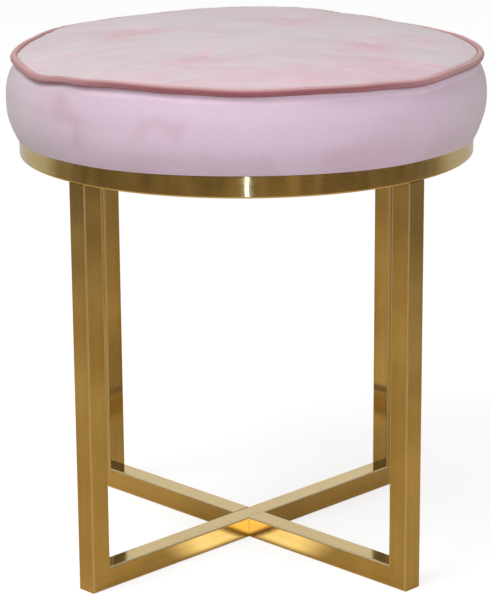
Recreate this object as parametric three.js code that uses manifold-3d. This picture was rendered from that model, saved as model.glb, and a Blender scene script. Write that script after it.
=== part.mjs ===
// A round stool: a tufted velvet seat on a frame of polished square tube.
// The frame is a rolled ring on four legs, which stand on crossed bars that lie on the floor.
// Millimetres, +Z up, origin on the floor under the middle of the seat, front towards -Y.

import * as THREE from 'three';
import { mergeVertices, toCreasedNormals } from 'three/addons/utils/BufferGeometryUtils.js';
import Module from 'manifold-3d';

const wasm = await Module();
wasm.setup();

// Frame: one size of square tube for the ring, the legs and the floor bars
const TUBE_SIDE = 20;
const TUBE_WALL = 1.2;
const TUBE_CORNER = 1.5; // radius of the tube's outer corners
const RING_RADIUS = 205; // outside of the ring, flush with the legs' outer faces
const FRAME_HEIGHT = 391.5; // floor to the top of the ring
const LEG_COUNT = 4;
const FIRST_LEG = 45; // degrees from +X to the first leg
const VENT_BORE = 8; // hole in the ring over each leg, which drains it when it is plated

// Fits
const FIT = 0.3; // gap kept between pieces that touch
const OVERRUN = 1; // how far a cutting tool runs past what it cuts

// Seat tabs, welded inside the ring midway between the legs
const TAB_COUNT = 4;
const FIRST_TAB = 0; // degrees from +X to the first tab
const TAB_WIDTH = 30;
const TAB_THICK = 3;
const TAB_BOLT_INSET = 24; // from the ring's inner wall to the bolt

// Seat bolts, with their washers and tee nuts
const BOLT_DIAMETER = 6;
const BOLT_LENGTH = 16;
const BOLT_HEAD_DIAMETER = 10.5;
const BOLT_HEAD_HEIGHT = 3.3;
const BOLT_DOME_SHARES = [[0.62, 0], [0.87, 0.33], [1, 0.91]]; // of the head's radius and height
const SOCKET_SIDES = 6;
const SOCKET_FLATS = 4; // across the flats of the socket
const SOCKET_DEPTH = 2;
const WASHER_DIAMETER = 16;
const WASHER_THICK = 1.6;
const BOLT_HOLE_CLEARANCE = 0.5; // on the radius, in the tab, the washer and the cloth
const NUT_BARREL_WALL = 1.2;
const NUT_BARREL_LENGTH = 9;
const NUT_FLANGE_DIAMETER = 19;
const NUT_FLANGE_THICK = 1.5;

// Seat: board, padding and covers
const BOARD_INSET = 2; // from the ring's outside to the board's edge
const BOARD_THICK = 12;
const DUST_CLOTH = 0.4;
const DUST_COVER_MARGIN = 3; // from the ring's inner wall to the cloth's edge
const VELVET = 1.2;
const WADDING = 3.5;
const HEM_WIDTH = 33; // velvet turned in over the ring, from the ring's outside
const CUSHION_OVERHANG = 10.5; // from the ring's outside to the cushion's widest place
const WIDEST_RISE = 29.5; // from the ring's top to the widest place
const SEAM_RISE = 69.8; // from the ring's top to the middle of the piping
const SEAM_INSET = 1.4; // from the ring's outside to the top panel's edge
const FOOT_DRAW = 7.1; // how far the side comes in at the ring
const SHOULDER_DRAW = 9.2; // how far it comes in under the piping
const FOOT_POWER = 2;
const SHOULDER_POWER = 2.4;
const CROWN_RISE = 18.5; // from the seam to the middle of the top
const CROWN_POWER = 2.1;
const CROWN_ROOT = 0.5;

// Piping
const PIPING_DIAMETER = 7.5;
const PIPING_GAP = 0.65; // between the top panel's edge and the cord
const BAND_GAP = 0.5; // between the side band's top edge and the cord
const PIPING_WAVE = 3.6; // how far the seam wanders up and down

// Tufts
const TUFT_COUNT = 4;
const FIRST_TUFT = 70; // degrees from +X to the first tuft
const TUFT_RADIUS = 109; // from the middle of the seat
const TUFT_DEPTH = 7;
const TUFT_SPREAD = 19; // how far a dimple reaches before it fades
const BUTTON_DIAMETER = 12;
const BUTTON_DOME = 0.8; // over the button's rim
const BUTTON_BELLY = 1.9; // under the button's rim
const BUTTON_RIM = 0.5;
const BUTTON_GAP = 0.5; // between the button and the bottom of its dimple
const TWINE_DIAMETER = 2;
const TWINE_CLEARANCE = 0.5; // on the radius, in each hole that the twine runs through
const ANCHOR_DIAMETER = 14;
const ANCHOR_THICK = 2;
const ANCHOR_WALL_GAP = 0.5; // on the radius, in the board's recess

// How finely round shapes are stepped
const RING_STEPS = 72;
const CUSHION_STEPS = 32;
const PIPING_STEPS = 64;
const PIPING_SIDES = 8;
const SMALL_STEPS = 12;
const TWINE_STEPS = 6;
const CORNER_STEPS = 2;
const SIDE_STEPS = 6;
const CREASE = THREE.MathUtils.degToRad(35);
const WELD_TOLERANCE = 1e-3;

// Where the top is stepped, as shares of the way from the middle to the tufts, and from there
// to the seam
const INNER_SHARES = [0, 0.32, 0.62, 0.8, 1];
const OUTER_SHARES = [0.23, 0.44, 0.66, 0.83, 0.95, 1];

// The seam's height round the seat, as shares of the wave, every 15 degrees from +X
const WAVE_SHARES = [
  -0.7, -0.85, -0.7, -0.7, 0.1, 0.8, 0.85, 0.55, 0.15, 0.1, 0.1, -0.6,
  -0.75, -0.6, -1.2, -0.5, 0.15, -0.15, -0.25, 0, -0.45, -0.85, -0.25, -0.6,
];

// Places worked out from the sizes above
const HALF_TUBE = TUBE_SIDE / 2;
const RING_INNER = RING_RADIUS - TUBE_SIDE;
const BOARD_RADIUS = RING_RADIUS - BOARD_INSET;
const CUSHION_RADIUS = RING_RADIUS + CUSHION_OVERHANG;
const SEAM_RADIUS = RING_RADIUS - SEAM_INSET;
const RING_UNDERSIDE = FRAME_HEIGHT - TUBE_SIDE;
const CUT_GAP = FIT * Math.SQRT2; // along the tube, for a gap of FIT across a mitre
const HEM_BOTTOM = FRAME_HEIGHT + FIT;
const HEM_TOP = HEM_BOTTOM + VELVET;
const HEM_INNER = RING_RADIUS - HEM_WIDTH;
const BOARD_BOTTOM = HEM_TOP + FIT;
const BOARD_TOP = BOARD_BOTTOM + BOARD_THICK;
const CLOTH_TOP = HEM_BOTTOM - FIT;
const CLOTH_BOTTOM = CLOTH_TOP - DUST_CLOTH;
const TAB_TOP = CLOTH_BOTTOM - FIT;
const TAB_BOTTOM = TAB_TOP - TAB_THICK;
const WASHER_BOTTOM = TAB_BOTTOM - FIT - WASHER_THICK;
const BOLT_SEAT = WASHER_BOTTOM - FIT;
const BOLT_CIRCLE = RING_INNER - TAB_BOLT_INSET;
const BOLT_RADIUS = BOLT_DIAMETER / 2;
const BOLT_HOLE_RADIUS = BOLT_RADIUS + BOLT_HOLE_CLEARANCE;
const NUT_BORE_RADIUS = BOLT_RADIUS + FIT;
const NUT_BARREL_RADIUS = NUT_BORE_RADIUS + NUT_BARREL_WALL;
const NUT_FLANGE_RADIUS = NUT_FLANGE_DIAMETER / 2;
const WIDEST_HEIGHT = FRAME_HEIGHT + WIDEST_RISE;
const SEAM_HEIGHT = FRAME_HEIGHT + SEAM_RISE;
const PIPING_HALF = PIPING_DIAMETER / 2;
const PIPING_RADIUS = SEAM_RADIUS + PIPING_GAP + PIPING_HALF; // to the middle of the cord
const BAND_TOP = SEAM_HEIGHT - PIPING_HALF - BAND_GAP;
const TWINE_RADIUS = TWINE_DIAMETER / 2;
const TWINE_HOLE_RADIUS = TWINE_RADIUS + TWINE_CLEARANCE;
const ANCHOR_RECESS = ANCHOR_THICK + FIT;
const CROWN_TOP = SEAM_HEIGHT + CROWN_RISE;
const SHOULDER = BAND_TOP - PIPING_HALF; // where the padding's side gives way to its top

// The same steps as shares of the seam's radius. The tufts lie on one of them.
const TUFT_SHARE = TUFT_RADIUS / SEAM_RADIUS;
const CROWN_SHARES = [
  ...INNER_SHARES.map((share) => TUFT_SHARE * share),
  ...OUTER_SHARES.map((share) => TUFT_SHARE + (1 - TUFT_SHARE) * share),
];

// Depth of each layer under the velvet's outer face
const PANEL_INSIDE = VELVET;
const WADDING_OUTSIDE = PANEL_INSIDE + FIT;
const WADDING_INSIDE = WADDING_OUTSIDE + WADDING;
const FOAM_OUTSIDE = WADDING_INSIDE + FIT;

// Finishes
const BRASS = { color: 0xb08a3c, roughness: 0.18, metalness: 1 };
const STEEL = { color: 0xa8a8a4, roughness: 0.35, metalness: 1 };
const VELVET_PINK = { color: 0xd6bcc6, roughness: 0.85, metalness: 0 };
const VELVET_ROSE = { color: 0xb9807c, roughness: 0.85, metalness: 0 };
const PLYWOOD = { color: 0xc9a877, roughness: 0.7, metalness: 0 };
const FOAM = { color: 0xe9dfb8, roughness: 0.95, metalness: 0 };
const FIBRE = { color: 0xf2f0ea, roughness: 1, metalness: 0 };
const BLACK_CLOTH = { color: 0x1c1c1e, roughness: 0.95, metalness: 0 };
const TWINE_PALE = { color: 0xd8cfb6, roughness: 0.9, metalness: 0 };
const PLASTIC = { color: 0xdadada, roughness: 0.5, metalness: 0 };

const radians = THREE.MathUtils.degToRad;

// The geometry with its shared corners merged and its flat slivers dropped
function weld(geometry) {
  const bare = geometry.clone();
  bare.deleteAttribute('normal');
  bare.deleteAttribute('uv');
  const merged = mergeVertices(bare, WELD_TOLERANCE);
  const corners = [];
  for (let i = 0; i < merged.index.count; i += 3) {
    const [a, b, c] = [0, 1, 2].map((k) => merged.index.getX(i + k));
    if (a !== b && b !== c && c !== a) corners.push(a, b, c);
  }
  merged.setIndex(corners);
  return merged;
}

function solidOf(geometry) {
  const welded = weld(geometry);
  return new wasm.Manifold(new wasm.Mesh({
    numProp: 3,
    vertProperties: new Float32Array(welded.attributes.position.array),
    triVerts: new Uint32Array(welded.index.array),
  }));
}

function geometryOf(solid) {
  const { vertProperties, triVerts } = solid.getMesh();
  const geometry = new THREE.BufferGeometry();
  geometry.setAttribute('position', new THREE.BufferAttribute(vertProperties, 3));
  geometry.setIndex(new THREE.BufferAttribute(triVerts, 1));
  return geometry;
}

// The body with each of the tools cut out of it
function cut(body, tools) {
  const solid = tools.reduce((rest, tool) => rest.subtract(solidOf(tool)), solidOf(body));
  return geometryOf(solid);
}

function piece(name, geometry, finish) {
  const shaded = toCreasedNormals(weld(geometry).toNonIndexed(), CREASE);
  const mesh = new THREE.Mesh(shaded, new THREE.MeshStandardMaterial(finish));
  mesh.name = name;
  return mesh;
}

// A group turned about the stool's upright axis
function turned(degrees, ...meshes) {
  const group = new THREE.Group();
  group.rotation.z = radians(degrees);
  group.add(...meshes);
  return group;
}

// Moves every corner of the geometry to where place(point) puts it
function reshape(geometry, place) {
  const corners = geometry.attributes.position;
  const point = new THREE.Vector3();
  for (let i = 0; i < corners.count; i += 1) {
    point.fromBufferAttribute(corners, i);
    place(point);
    corners.setXYZ(i, point.x, point.y, point.z);
  }
  return geometry;
}

// An outline of [radius, height] points turned about +Z, from the first step's azimuth
function lathe(outline, steps, azimuth = 0) {
  const points = outline.map(([radius, height]) => new THREE.Vector2(radius, height));
  const quarter = Math.PI / 2;
  const shape = new THREE.LatheGeometry(points, steps, radians(azimuth) + quarter, Math.PI * 2);
  return shape.rotateX(quarter);
}

// A round bar or cutting tool that stands from one height to another
function post(radius, bottom, top, steps = SMALL_STEPS) {
  return lathe([[0, bottom], [radius, bottom], [radius, top], [0, top]], steps);
}

// A flat ring from one height to another
function collar(inner, outer, bottom, top) {
  const outline = [[inner, bottom], [outer, bottom], [outer, top], [inner, top], [inner, bottom]];
  return lathe(outline, SMALL_STEPS);
}

// The places of a pattern of equal steps round the axis
function around(count, first, radius) {
  return Array.from({ length: count }, (_, i) => {
    const degrees = first + (i * 360) / count;
    const x = radius * Math.cos(radians(degrees));
    const y = radius * Math.sin(radians(degrees));
    return { number: i + 1, degrees, x, y };
  });
}

// The section of the square tube, with rounded corners and a square bore
function tubeSection() {
  const flat = HALF_TUBE - TUBE_CORNER;
  const bore = HALF_TUBE - TUBE_WALL;
  const quarter = Math.PI / 2;
  const section = new THREE.Shape();
  section.moveTo(HALF_TUBE, -flat);
  [[flat, flat], [-flat, flat], [-flat, -flat], [flat, -flat]].forEach(([x, y], i) => {
    section.absarc(x, y, TUBE_CORNER, i * quarter, (i + 1) * quarter);
  });
  const hole = new THREE.Path();
  hole.moveTo(bore, bore);
  hole.lineTo(bore, -bore);
  hole.lineTo(-bore, -bore);
  hole.lineTo(-bore, bore);
  hole.closePath();
  section.holes.push(hole);
  return section;
}

function tube(length) {
  return new THREE.ExtrudeGeometry(tubeSection(), {
    depth: length,
    steps: 1,
    bevelEnabled: false,
    curveSegments: CORNER_STEPS,
  });
}

// A leg stands with its outward side along +X. Its foot is mitred to the floor bar.
function legGeometry() {
  const length = RING_UNDERSIDE - FIT;
  const middle = length / 2;
  return reshape(tube(length), (point) => {
    if (point.z < middle) point.z = HALF_TUBE - point.x + CUT_GAP;
  }).translate(RING_RADIUS - HALF_TUBE, 0, 0);
}

// A floor bar lies along X. An end that carries a leg is mitred, any other is square.
function barGeometry(start, end, mitredStart) {
  const middle = (end - start) / 2;
  const bar = tube(end - start).rotateY(Math.PI / 2).translate(0, 0, HALF_TUBE);
  return reshape(bar, (point) => {
    if (point.x > middle) point.x -= point.z;
    else if (mitredStart) point.x += point.z;
  }).translate(start, 0, 0);
}

// The outline of the tube's section as [radius, height] points round the ring's own middle
function ringOutline(half, corner) {
  const flat = half - corner;
  const middle = RING_RADIUS - HALF_TUBE;
  const height = FRAME_HEIGHT - HALF_TUBE;
  const outline = [];
  [[1, -1], [1, 1], [-1, 1], [-1, -1]].forEach(([across, up], i) => {
    const steps = corner > 0 ? CORNER_STEPS : 0;
    for (let k = 0; k <= steps; k += 1) {
      const angle = (i - 1 + (steps ? k / steps : 0)) * (Math.PI / 2);
      outline.push([
        middle + across * flat + corner * Math.cos(angle),
        height + up * flat + corner * Math.sin(angle),
      ]);
    }
  });
  return [...outline, outline[0]];
}

function ringGeometry() {
  const bore = lathe(ringOutline(HALF_TUBE - TUBE_WALL, 0), RING_STEPS);
  const vents = around(LEG_COUNT, FIRST_LEG, RING_RADIUS - HALF_TUBE).map(({ x, y }) => (
    post(VENT_BORE / 2, RING_UNDERSIDE - OVERRUN, RING_UNDERSIDE + HALF_TUBE).translate(x, y, 0)
  ));
  return cut(lathe(ringOutline(HALF_TUBE, TUBE_CORNER), RING_STEPS), [bore, ...vents]);
}

// A tab reaches inward along -X from the ring's wall and ends in a half round about its bolt
function tabGeometry() {
  const half = TAB_WIDTH / 2;
  const wall = RING_INNER * Math.cos(Math.PI / RING_STEPS);
  const root = Math.sqrt(wall ** 2 - half ** 2) - FIT;
  const outline = new THREE.Shape();
  outline.moveTo(root, -half);
  outline.lineTo(root, half);
  outline.lineTo(BOLT_CIRCLE, half);
  outline.absarc(BOLT_CIRCLE, 0, half, Math.PI / 2, (Math.PI * 3) / 2);
  const hole = new THREE.Path();
  hole.absarc(BOLT_CIRCLE, 0, BOLT_HOLE_RADIUS, 0, Math.PI * 2, true);
  outline.holes.push(hole);
  const plate = { depth: TAB_THICK, bevelEnabled: false, curveSegments: SMALL_STEPS / 2 };
  return new THREE.ExtrudeGeometry(outline, plate).translate(0, 0, TAB_BOTTOM);
}

// A domed bolt that points up, with its hexagon socket in the end of the head
function boltGeometry() {
  const end = BOLT_SEAT - BOLT_HEAD_HEIGHT;
  const head = BOLT_HEAD_DIAMETER / 2;
  const dome = BOLT_DOME_SHARES.map(([across, up]) => [head * across, end + BOLT_HEAD_HEIGHT * up]);
  const bolt = lathe([
    [0, end],
    ...dome,
    [head, BOLT_SEAT],
    [BOLT_RADIUS, BOLT_SEAT],
    [BOLT_RADIUS, BOLT_SEAT + BOLT_LENGTH],
    [0, BOLT_SEAT + BOLT_LENGTH],
  ], SMALL_STEPS);
  const corner = SOCKET_FLATS / 2 / Math.cos(Math.PI / SOCKET_SIDES);
  return cut(bolt, [post(corner, end - OVERRUN, end + SOCKET_DEPTH, SOCKET_SIDES)]);
}

function washerGeometry() {
  return collar(BOLT_HOLE_RADIUS, WASHER_DIAMETER / 2, WASHER_BOTTOM, TAB_BOTTOM - FIT);
}

// A tee nut: a barrel that hangs in the board from a flange let into its top
function teeNutGeometry() {
  const underFlange = BOARD_TOP - NUT_FLANGE_THICK;
  const bottom = underFlange - NUT_BARREL_LENGTH;
  return lathe([
    [NUT_BORE_RADIUS, bottom],
    [NUT_BARREL_RADIUS, bottom],
    [NUT_BARREL_RADIUS, underFlange],
    [NUT_FLANGE_RADIUS, underFlange],
    [NUT_FLANGE_RADIUS, BOARD_TOP],
    [NUT_BORE_RADIUS, BOARD_TOP],
    [NUT_BORE_RADIUS, bottom],
  ], SMALL_STEPS);
}

const boltPlaces = around(TAB_COUNT, FIRST_TAB, BOLT_CIRCLE);
const tuftPlaces = around(TUFT_COUNT, FIRST_TUFT, TUFT_RADIUS);

function boardGeometry() {
  const nutHoles = boltPlaces.flatMap(({ x, y }) => [
    post(NUT_BARREL_RADIUS + FIT, BOARD_BOTTOM - OVERRUN, BOARD_TOP + OVERRUN),
    post(NUT_FLANGE_RADIUS + FIT, BOARD_TOP - NUT_FLANGE_THICK - FIT, BOARD_TOP + OVERRUN),
  ].map((hole) => hole.translate(x, y, 0)));
  const recess = ANCHOR_DIAMETER / 2 + ANCHOR_WALL_GAP;
  const tuftHoles = tuftPlaces.flatMap(({ x, y }) => [
    post(TWINE_HOLE_RADIUS, BOARD_BOTTOM - OVERRUN, BOARD_TOP + OVERRUN),
    post(recess, BOARD_BOTTOM - OVERRUN, BOARD_BOTTOM + ANCHOR_RECESS),
  ].map((hole) => hole.translate(x, y, 0)));
  return cut(post(BOARD_RADIUS, BOARD_BOTTOM, BOARD_TOP, RING_STEPS), [...nutHoles, ...tuftHoles]);
}

function dustCoverGeometry() {
  const radius = RING_INNER - DUST_COVER_MARGIN;
  const holes = boltPlaces.map(({ x, y }) => (
    post(BOLT_HOLE_RADIUS, CLOTH_BOTTOM - OVERRUN, CLOTH_TOP + OVERRUN).translate(x, y, 0)
  ));
  return cut(post(radius, CLOTH_BOTTOM, CLOTH_TOP, RING_STEPS), holes);
}

// The cushion's side: its true radius at a height
function sideCurve(height) {
  if (height < WIDEST_HEIGHT) {
    const down = (WIDEST_HEIGHT - height) / (WIDEST_HEIGHT - HEM_BOTTOM);
    return CUSHION_RADIUS - FOOT_DRAW * down ** FOOT_POWER;
  }
  const up = (height - WIDEST_HEIGHT) / (BAND_TOP - WIDEST_HEIGHT);
  return CUSHION_RADIUS - SHOULDER_DRAW * up ** SHOULDER_POWER;
}

// The levels at which every layer's side is stepped, so that the layers nest
const LEVEL_RISE = (BAND_TOP - HEM_BOTTOM) / SIDE_STEPS;
const SIDE_LEVELS = Array.from({ length: SIDE_STEPS + 1 }, (_, i) => HEM_BOTTOM + i * LEVEL_RISE);

// The radius of the stepped side at a height
function sideRadius(height) {
  const steps = (height - HEM_BOTTOM) / LEVEL_RISE;
  const i = Math.min(Math.max(Math.floor(steps), 0), SIDE_STEPS - 1);
  const [low, high] = [sideCurve(SIDE_LEVELS[i]), sideCurve(SIDE_LEVELS[i + 1])];
  return low + (high - low) * (steps - i);
}

// The seam's rise or fall at an azimuth, an even curve through the wave's shares
function wave(azimuth) {
  const count = WAVE_SHARES.length;
  const along = ((azimuth / (Math.PI * 2)) * count + count) % count;
  const first = Math.floor(along);
  const blend = (1 - Math.cos((along - first) * Math.PI)) / 2;
  const here = WAVE_SHARES[first % count];
  const next = WAVE_SHARES[(first + 1) % count];
  return PIPING_WAVE * (here + (next - here) * blend);
}

const { smoothstep } = THREE.MathUtils;

// Pulls a plain cushion shape into the real one: the seam wanders, and the tufts are sunk.
// inset is the point's depth under the velvet's face.
function drape(point, inset) {
  const reach = Math.hypot(point.x, point.y);
  const edge = smoothstep(reach, SEAM_RADIUS / 2, SEAM_RADIUS - inset);
  const level = smoothstep(point.z + inset, WIDEST_HEIGHT, BAND_TOP);
  const rise = edge > 0 ? wave(Math.atan2(point.y, point.x)) * edge * level : 0;
  const spread = SEAM_RADIUS / (SEAM_RADIUS - inset);
  const sink = tuftPlaces.reduce((sum, { x, y }) => {
    const away = Math.hypot(point.x * spread - x, point.y * spread - y) / TUFT_SPREAD;
    return sum + TUFT_DEPTH * Math.exp(-(away ** 2));
  }, 0);
  point.z += rise - sink * level;
}

// A layer's top from the seam to the middle, as [radius, height] points
function crownOutline(inset) {
  return CROWN_SHARES.map((share) => {
    const fall = (1 - share ** CROWN_POWER) ** CROWN_ROOT;
    return [share * (SEAM_RADIUS - inset), SEAM_HEIGHT + CROWN_RISE * fall - inset];
  }).reverse();
}

// A layer's side, upwards, as [radius, height] points no nearer the axis than least
function sideOutline(inset, bottom, top, least = 0) {
  const between = SIDE_LEVELS.filter((level) => level > bottom + FIT && level < top - FIT);
  return [bottom, ...between, top].map((height) => (
    [Math.max(sideRadius(height) - inset, least), height]
  ));
}

function soften(outline, inset) {
  const shape = lathe(outline, CUSHION_STEPS, FIRST_TUFT);
  return reshape(shape, (point) => drape(point, inset));
}

// All of the cushion that lies inset or deeper under the velvet's face, as one plain body
function cushionBody(inset, bottom, least) {
  const side = sideOutline(inset, bottom, SHOULDER, least);
  return soften([[0, bottom], ...side, ...crownOutline(inset)], inset);
}

// The holes that the twines run through, from one height to another
function twineHoles(bottom, top) {
  return tuftPlaces.map(({ x, y }) => (
    post(TWINE_HOLE_RADIUS, bottom, top, TWINE_STEPS).translate(x, y, 0)
  ));
}

function topPanelGeometry() {
  const outside = soften([[0, SEAM_HEIGHT], ...crownOutline(0)], 0);
  const inside = cushionBody(PANEL_INSIDE, BOARD_TOP);
  return cut(outside, [inside, ...twineHoles(SEAM_HEIGHT, CROWN_TOP)]);
}

function sideBandGeometry() {
  const outside = sideOutline(0, HEM_BOTTOM, BAND_TOP);
  const inside = sideOutline(VELVET, HEM_TOP, BAND_TOP - FIT).reverse();
  const outline = [[HEM_INNER, HEM_BOTTOM], ...outside, ...inside, [HEM_INNER, HEM_TOP]];
  return soften([...outline, outline[0]], 0);
}

function waddingGeometry() {
  const least = (BOARD_RADIUS + FIT) / Math.cos(Math.PI / CUSHION_STEPS);
  const inside = cushionBody(WADDING_INSIDE, BOARD_BOTTOM - OVERRUN, least);
  const holes = twineHoles(SEAM_HEIGHT - WADDING_INSIDE, CROWN_TOP);
  return cut(cushionBody(WADDING_OUTSIDE, BOARD_BOTTOM), [inside, ...holes]);
}

function foamGeometry() {
  const bottom = BOARD_TOP + FIT;
  return cut(cushionBody(FOAM_OUTSIDE, bottom), twineHoles(bottom - OVERRUN, CROWN_TOP));
}

// The piping: a round cord that follows the seam
function pipingGeometry() {
  const cord = new THREE.TorusGeometry(PIPING_RADIUS, PIPING_HALF, PIPING_SIDES, PIPING_STEPS)
    .rotateZ(radians(FIRST_TUFT))
    .translate(0, 0, SEAM_HEIGHT);
  return reshape(cord, (point) => {
    point.z += wave(Math.atan2(point.y, point.x));
  });
}

// The height of the velvet's face at the bottom of a dimple
function dimpleHeight({ x, y }) {
  const fall = (1 - TUFT_SHARE ** CROWN_POWER) ** CROWN_ROOT;
  const point = new THREE.Vector3(x, y, SEAM_HEIGHT + CROWN_RISE * fall);
  drape(point, 0);
  return point.z;
}

function buttonGeometry(bottom) {
  const radius = BUTTON_DIAMETER / 2;
  const rim = bottom + BUTTON_BELLY;
  const shoulder = rim + BUTTON_RIM;
  const inner = radius * Math.SQRT1_2;
  return lathe([
    [0, bottom],
    [TWINE_RADIUS, bottom],
    [radius, rim],
    [radius, shoulder],
    [inner, shoulder + BUTTON_DOME / 2],
    [0, shoulder + BUTTON_DOME],
  ], SMALL_STEPS);
}

function tufts() {
  const anchorTop = BOARD_BOTTOM + ANCHOR_THICK;
  return tuftPlaces.flatMap((place) => {
    const face = dimpleHeight(place);
    const shapes = [
      [`tuft_button_${place.number}`, buttonGeometry(face + BUTTON_GAP), VELVET_PINK],
      [
        `tuft_twine_${place.number}`,
        post(TWINE_RADIUS, BOARD_BOTTOM, face, TWINE_STEPS),
        TWINE_PALE,
      ],
      [
        `tuft_anchor_${place.number}`,
        collar(TWINE_HOLE_RADIUS, ANCHOR_DIAMETER / 2, BOARD_BOTTOM, anchorTop),
        PLASTIC,
      ],
    ];
    return shapes.map(([name, shape, finish]) => (
      piece(name, shape.translate(place.x, place.y, 0), finish)
    ));
  });
}

function legs() {
  const names = ['leg_back_right', 'leg_back_left', 'leg_front_left', 'leg_front_right'];
  return around(LEG_COUNT, FIRST_LEG, 0).map(({ degrees }, i) => (
    turned(degrees, piece(names[i], legGeometry(), BRASS))
  ));
}

function floorBars() {
  const side = HALF_TUBE + FIT;
  const directions = around(LEG_COUNT, FIRST_LEG, 0).map((leg) => leg.degrees);
  const [backRight, backLeft, , frontRight] = directions;
  const long = barGeometry(-RING_RADIUS, RING_RADIUS, true);
  const half = () => barGeometry(side, RING_RADIUS, false);
  return [
    turned(backRight, piece('floor_bar_long', long, BRASS)),
    turned(backLeft, piece('floor_bar_half_back', half(), BRASS)),
    turned(frontRight, piece('floor_bar_half_front', half(), BRASS)),
  ];
}

function seatFixings() {
  return boltPlaces.map(({ number, degrees }) => {
    const onBolt = (shape) => shape.translate(BOLT_CIRCLE, 0, 0);
    return turned(
      degrees,
      piece(`seat_tab_${number}`, tabGeometry(), BRASS),
      piece(`seat_bolt_${number}`, onBolt(boltGeometry()), STEEL),
      piece(`seat_washer_${number}`, onBolt(washerGeometry()), STEEL),
      piece(`tee_nut_${number}`, onBolt(teeNutGeometry()), STEEL),
    );
  });
}

const stool = new THREE.Group();
stool.name = 'stool';
stool.add(
  piece('apron_ring', ringGeometry(), BRASS),
  ...legs(),
  ...floorBars(),
  ...seatFixings(),
  piece('seat_board', boardGeometry(), PLYWOOD),
  piece('dust_cover', dustCoverGeometry(), BLACK_CLOTH),
  piece('foam_pad', foamGeometry(), FOAM),
  piece('wadding_layer', waddingGeometry(), FIBRE),
  piece('cover_side_band', sideBandGeometry(), VELVET_PINK),
  piece('cover_top_panel', topPanelGeometry(), VELVET_PINK),
  piece('piping_cord', pipingGeometry(), VELVET_ROSE),
  ...tufts(),
);

export default stool;
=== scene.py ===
# %% [markdown]
# # A round velvet stool on a crossed brass frame
#
# The stool is a tufted, piped velvet cushion on a ring of square brass tube. Four legs of the
# same tube stand on crossed bars that lie flat on the floor. This lesson dresses the stool's
# solid model: it gives each piece its fine surface and its finish.
# Everything is in metres, +Z up, with the origin on the floor under the middle of the seat.

from math import cos, pi, radians, sin, sqrt

import bpy
import numpy as np
from mathutils import Matrix, Vector


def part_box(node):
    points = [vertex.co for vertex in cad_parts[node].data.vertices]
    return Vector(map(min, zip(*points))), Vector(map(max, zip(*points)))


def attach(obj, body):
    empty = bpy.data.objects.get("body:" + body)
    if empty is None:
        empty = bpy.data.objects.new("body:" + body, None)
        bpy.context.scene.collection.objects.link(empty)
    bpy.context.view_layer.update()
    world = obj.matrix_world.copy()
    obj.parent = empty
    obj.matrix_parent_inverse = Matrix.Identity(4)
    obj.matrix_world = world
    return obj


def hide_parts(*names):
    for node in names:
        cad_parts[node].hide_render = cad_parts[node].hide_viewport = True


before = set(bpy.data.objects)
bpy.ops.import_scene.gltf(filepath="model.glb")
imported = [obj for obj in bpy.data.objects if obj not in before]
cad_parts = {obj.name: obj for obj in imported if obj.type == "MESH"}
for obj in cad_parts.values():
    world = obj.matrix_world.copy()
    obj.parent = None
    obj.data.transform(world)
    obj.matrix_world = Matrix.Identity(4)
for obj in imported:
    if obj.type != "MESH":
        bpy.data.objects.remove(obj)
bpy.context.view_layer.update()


def add_object(name, data):
    """A new object of the scene that shows the data."""
    made = bpy.data.objects.new(name, data)
    bpy.context.scene.collection.objects.link(made)
    return made


# %% [markdown]
# ## The camera
#
# The picture was taken from in front of the stool and a little above it, through a long lens.
# The place and the angles were worked out from the edges of the frame, whose real shape is
# simple: a level ring, upright legs and level bars. A camera can be set by Euler angles, but
# here its three axes are written as the columns of a matrix, which is easier to check.

# %% Camera
PICTURE_HEIGHT = 599  # pixels, the longer side, which Blender's sensor width spans
SENSOR_WIDTH = 36.0
FOCAL_PIXELS = 2408.04
CAMERA_PLACE = Vector((0.0, -2.14135, 0.82461))
CAMERA_YAW = radians(-0.0506)
CAMERA_DOWN = radians(15.561)
CAMERA_ROLL = radians(-0.4124)

forward = Vector((
    sin(CAMERA_YAW) * cos(CAMERA_DOWN),
    cos(CAMERA_YAW) * cos(CAMERA_DOWN),
    -sin(CAMERA_DOWN),
))
level_right = forward.cross(Vector((0, 0, 1))).normalized()
level_up = level_right.cross(forward)
camera_right = level_right * cos(CAMERA_ROLL) + level_up * sin(CAMERA_ROLL)
camera_up = level_up * cos(CAMERA_ROLL) - level_right * sin(CAMERA_ROLL)

camera = add_object("camera", bpy.data.cameras.new("camera"))
camera.data.sensor_width = SENSOR_WIDTH
camera.data.lens = FOCAL_PIXELS * SENSOR_WIDTH / PICTURE_HEIGHT
camera.matrix_world = Matrix.Translation(CAMERA_PLACE) @ Matrix(
    (camera_right, camera_up, -forward)
).transposed().to_4x4()
bpy.context.scene.camera = camera
bpy.context.scene.view_settings.view_transform = "Standard"
print("lens", round(camera.data.lens, 2), "mm")

# %% [markdown]
# ## Sizes
#
# The frame's sizes are read from the solid model's boxes. The cushion's come from the same
# few sizes that the solid model has: how far it overhangs the ring, and how it draws in.

# %% Sizes of the frame and the cushion
ring_low, ring_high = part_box("apron_ring")
RING_RADIUS = ring_high.x
RING_TOP = ring_high.z
TUBE_SIDE = ring_high.z - ring_low.z
HALF_TUBE = TUBE_SIDE / 2
TUBE_CORNER = 0.0016
FIRST_LEG = radians(45)
HAIRLINE = 0.0002  # the fine line that shows where two tubes are butted

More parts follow.
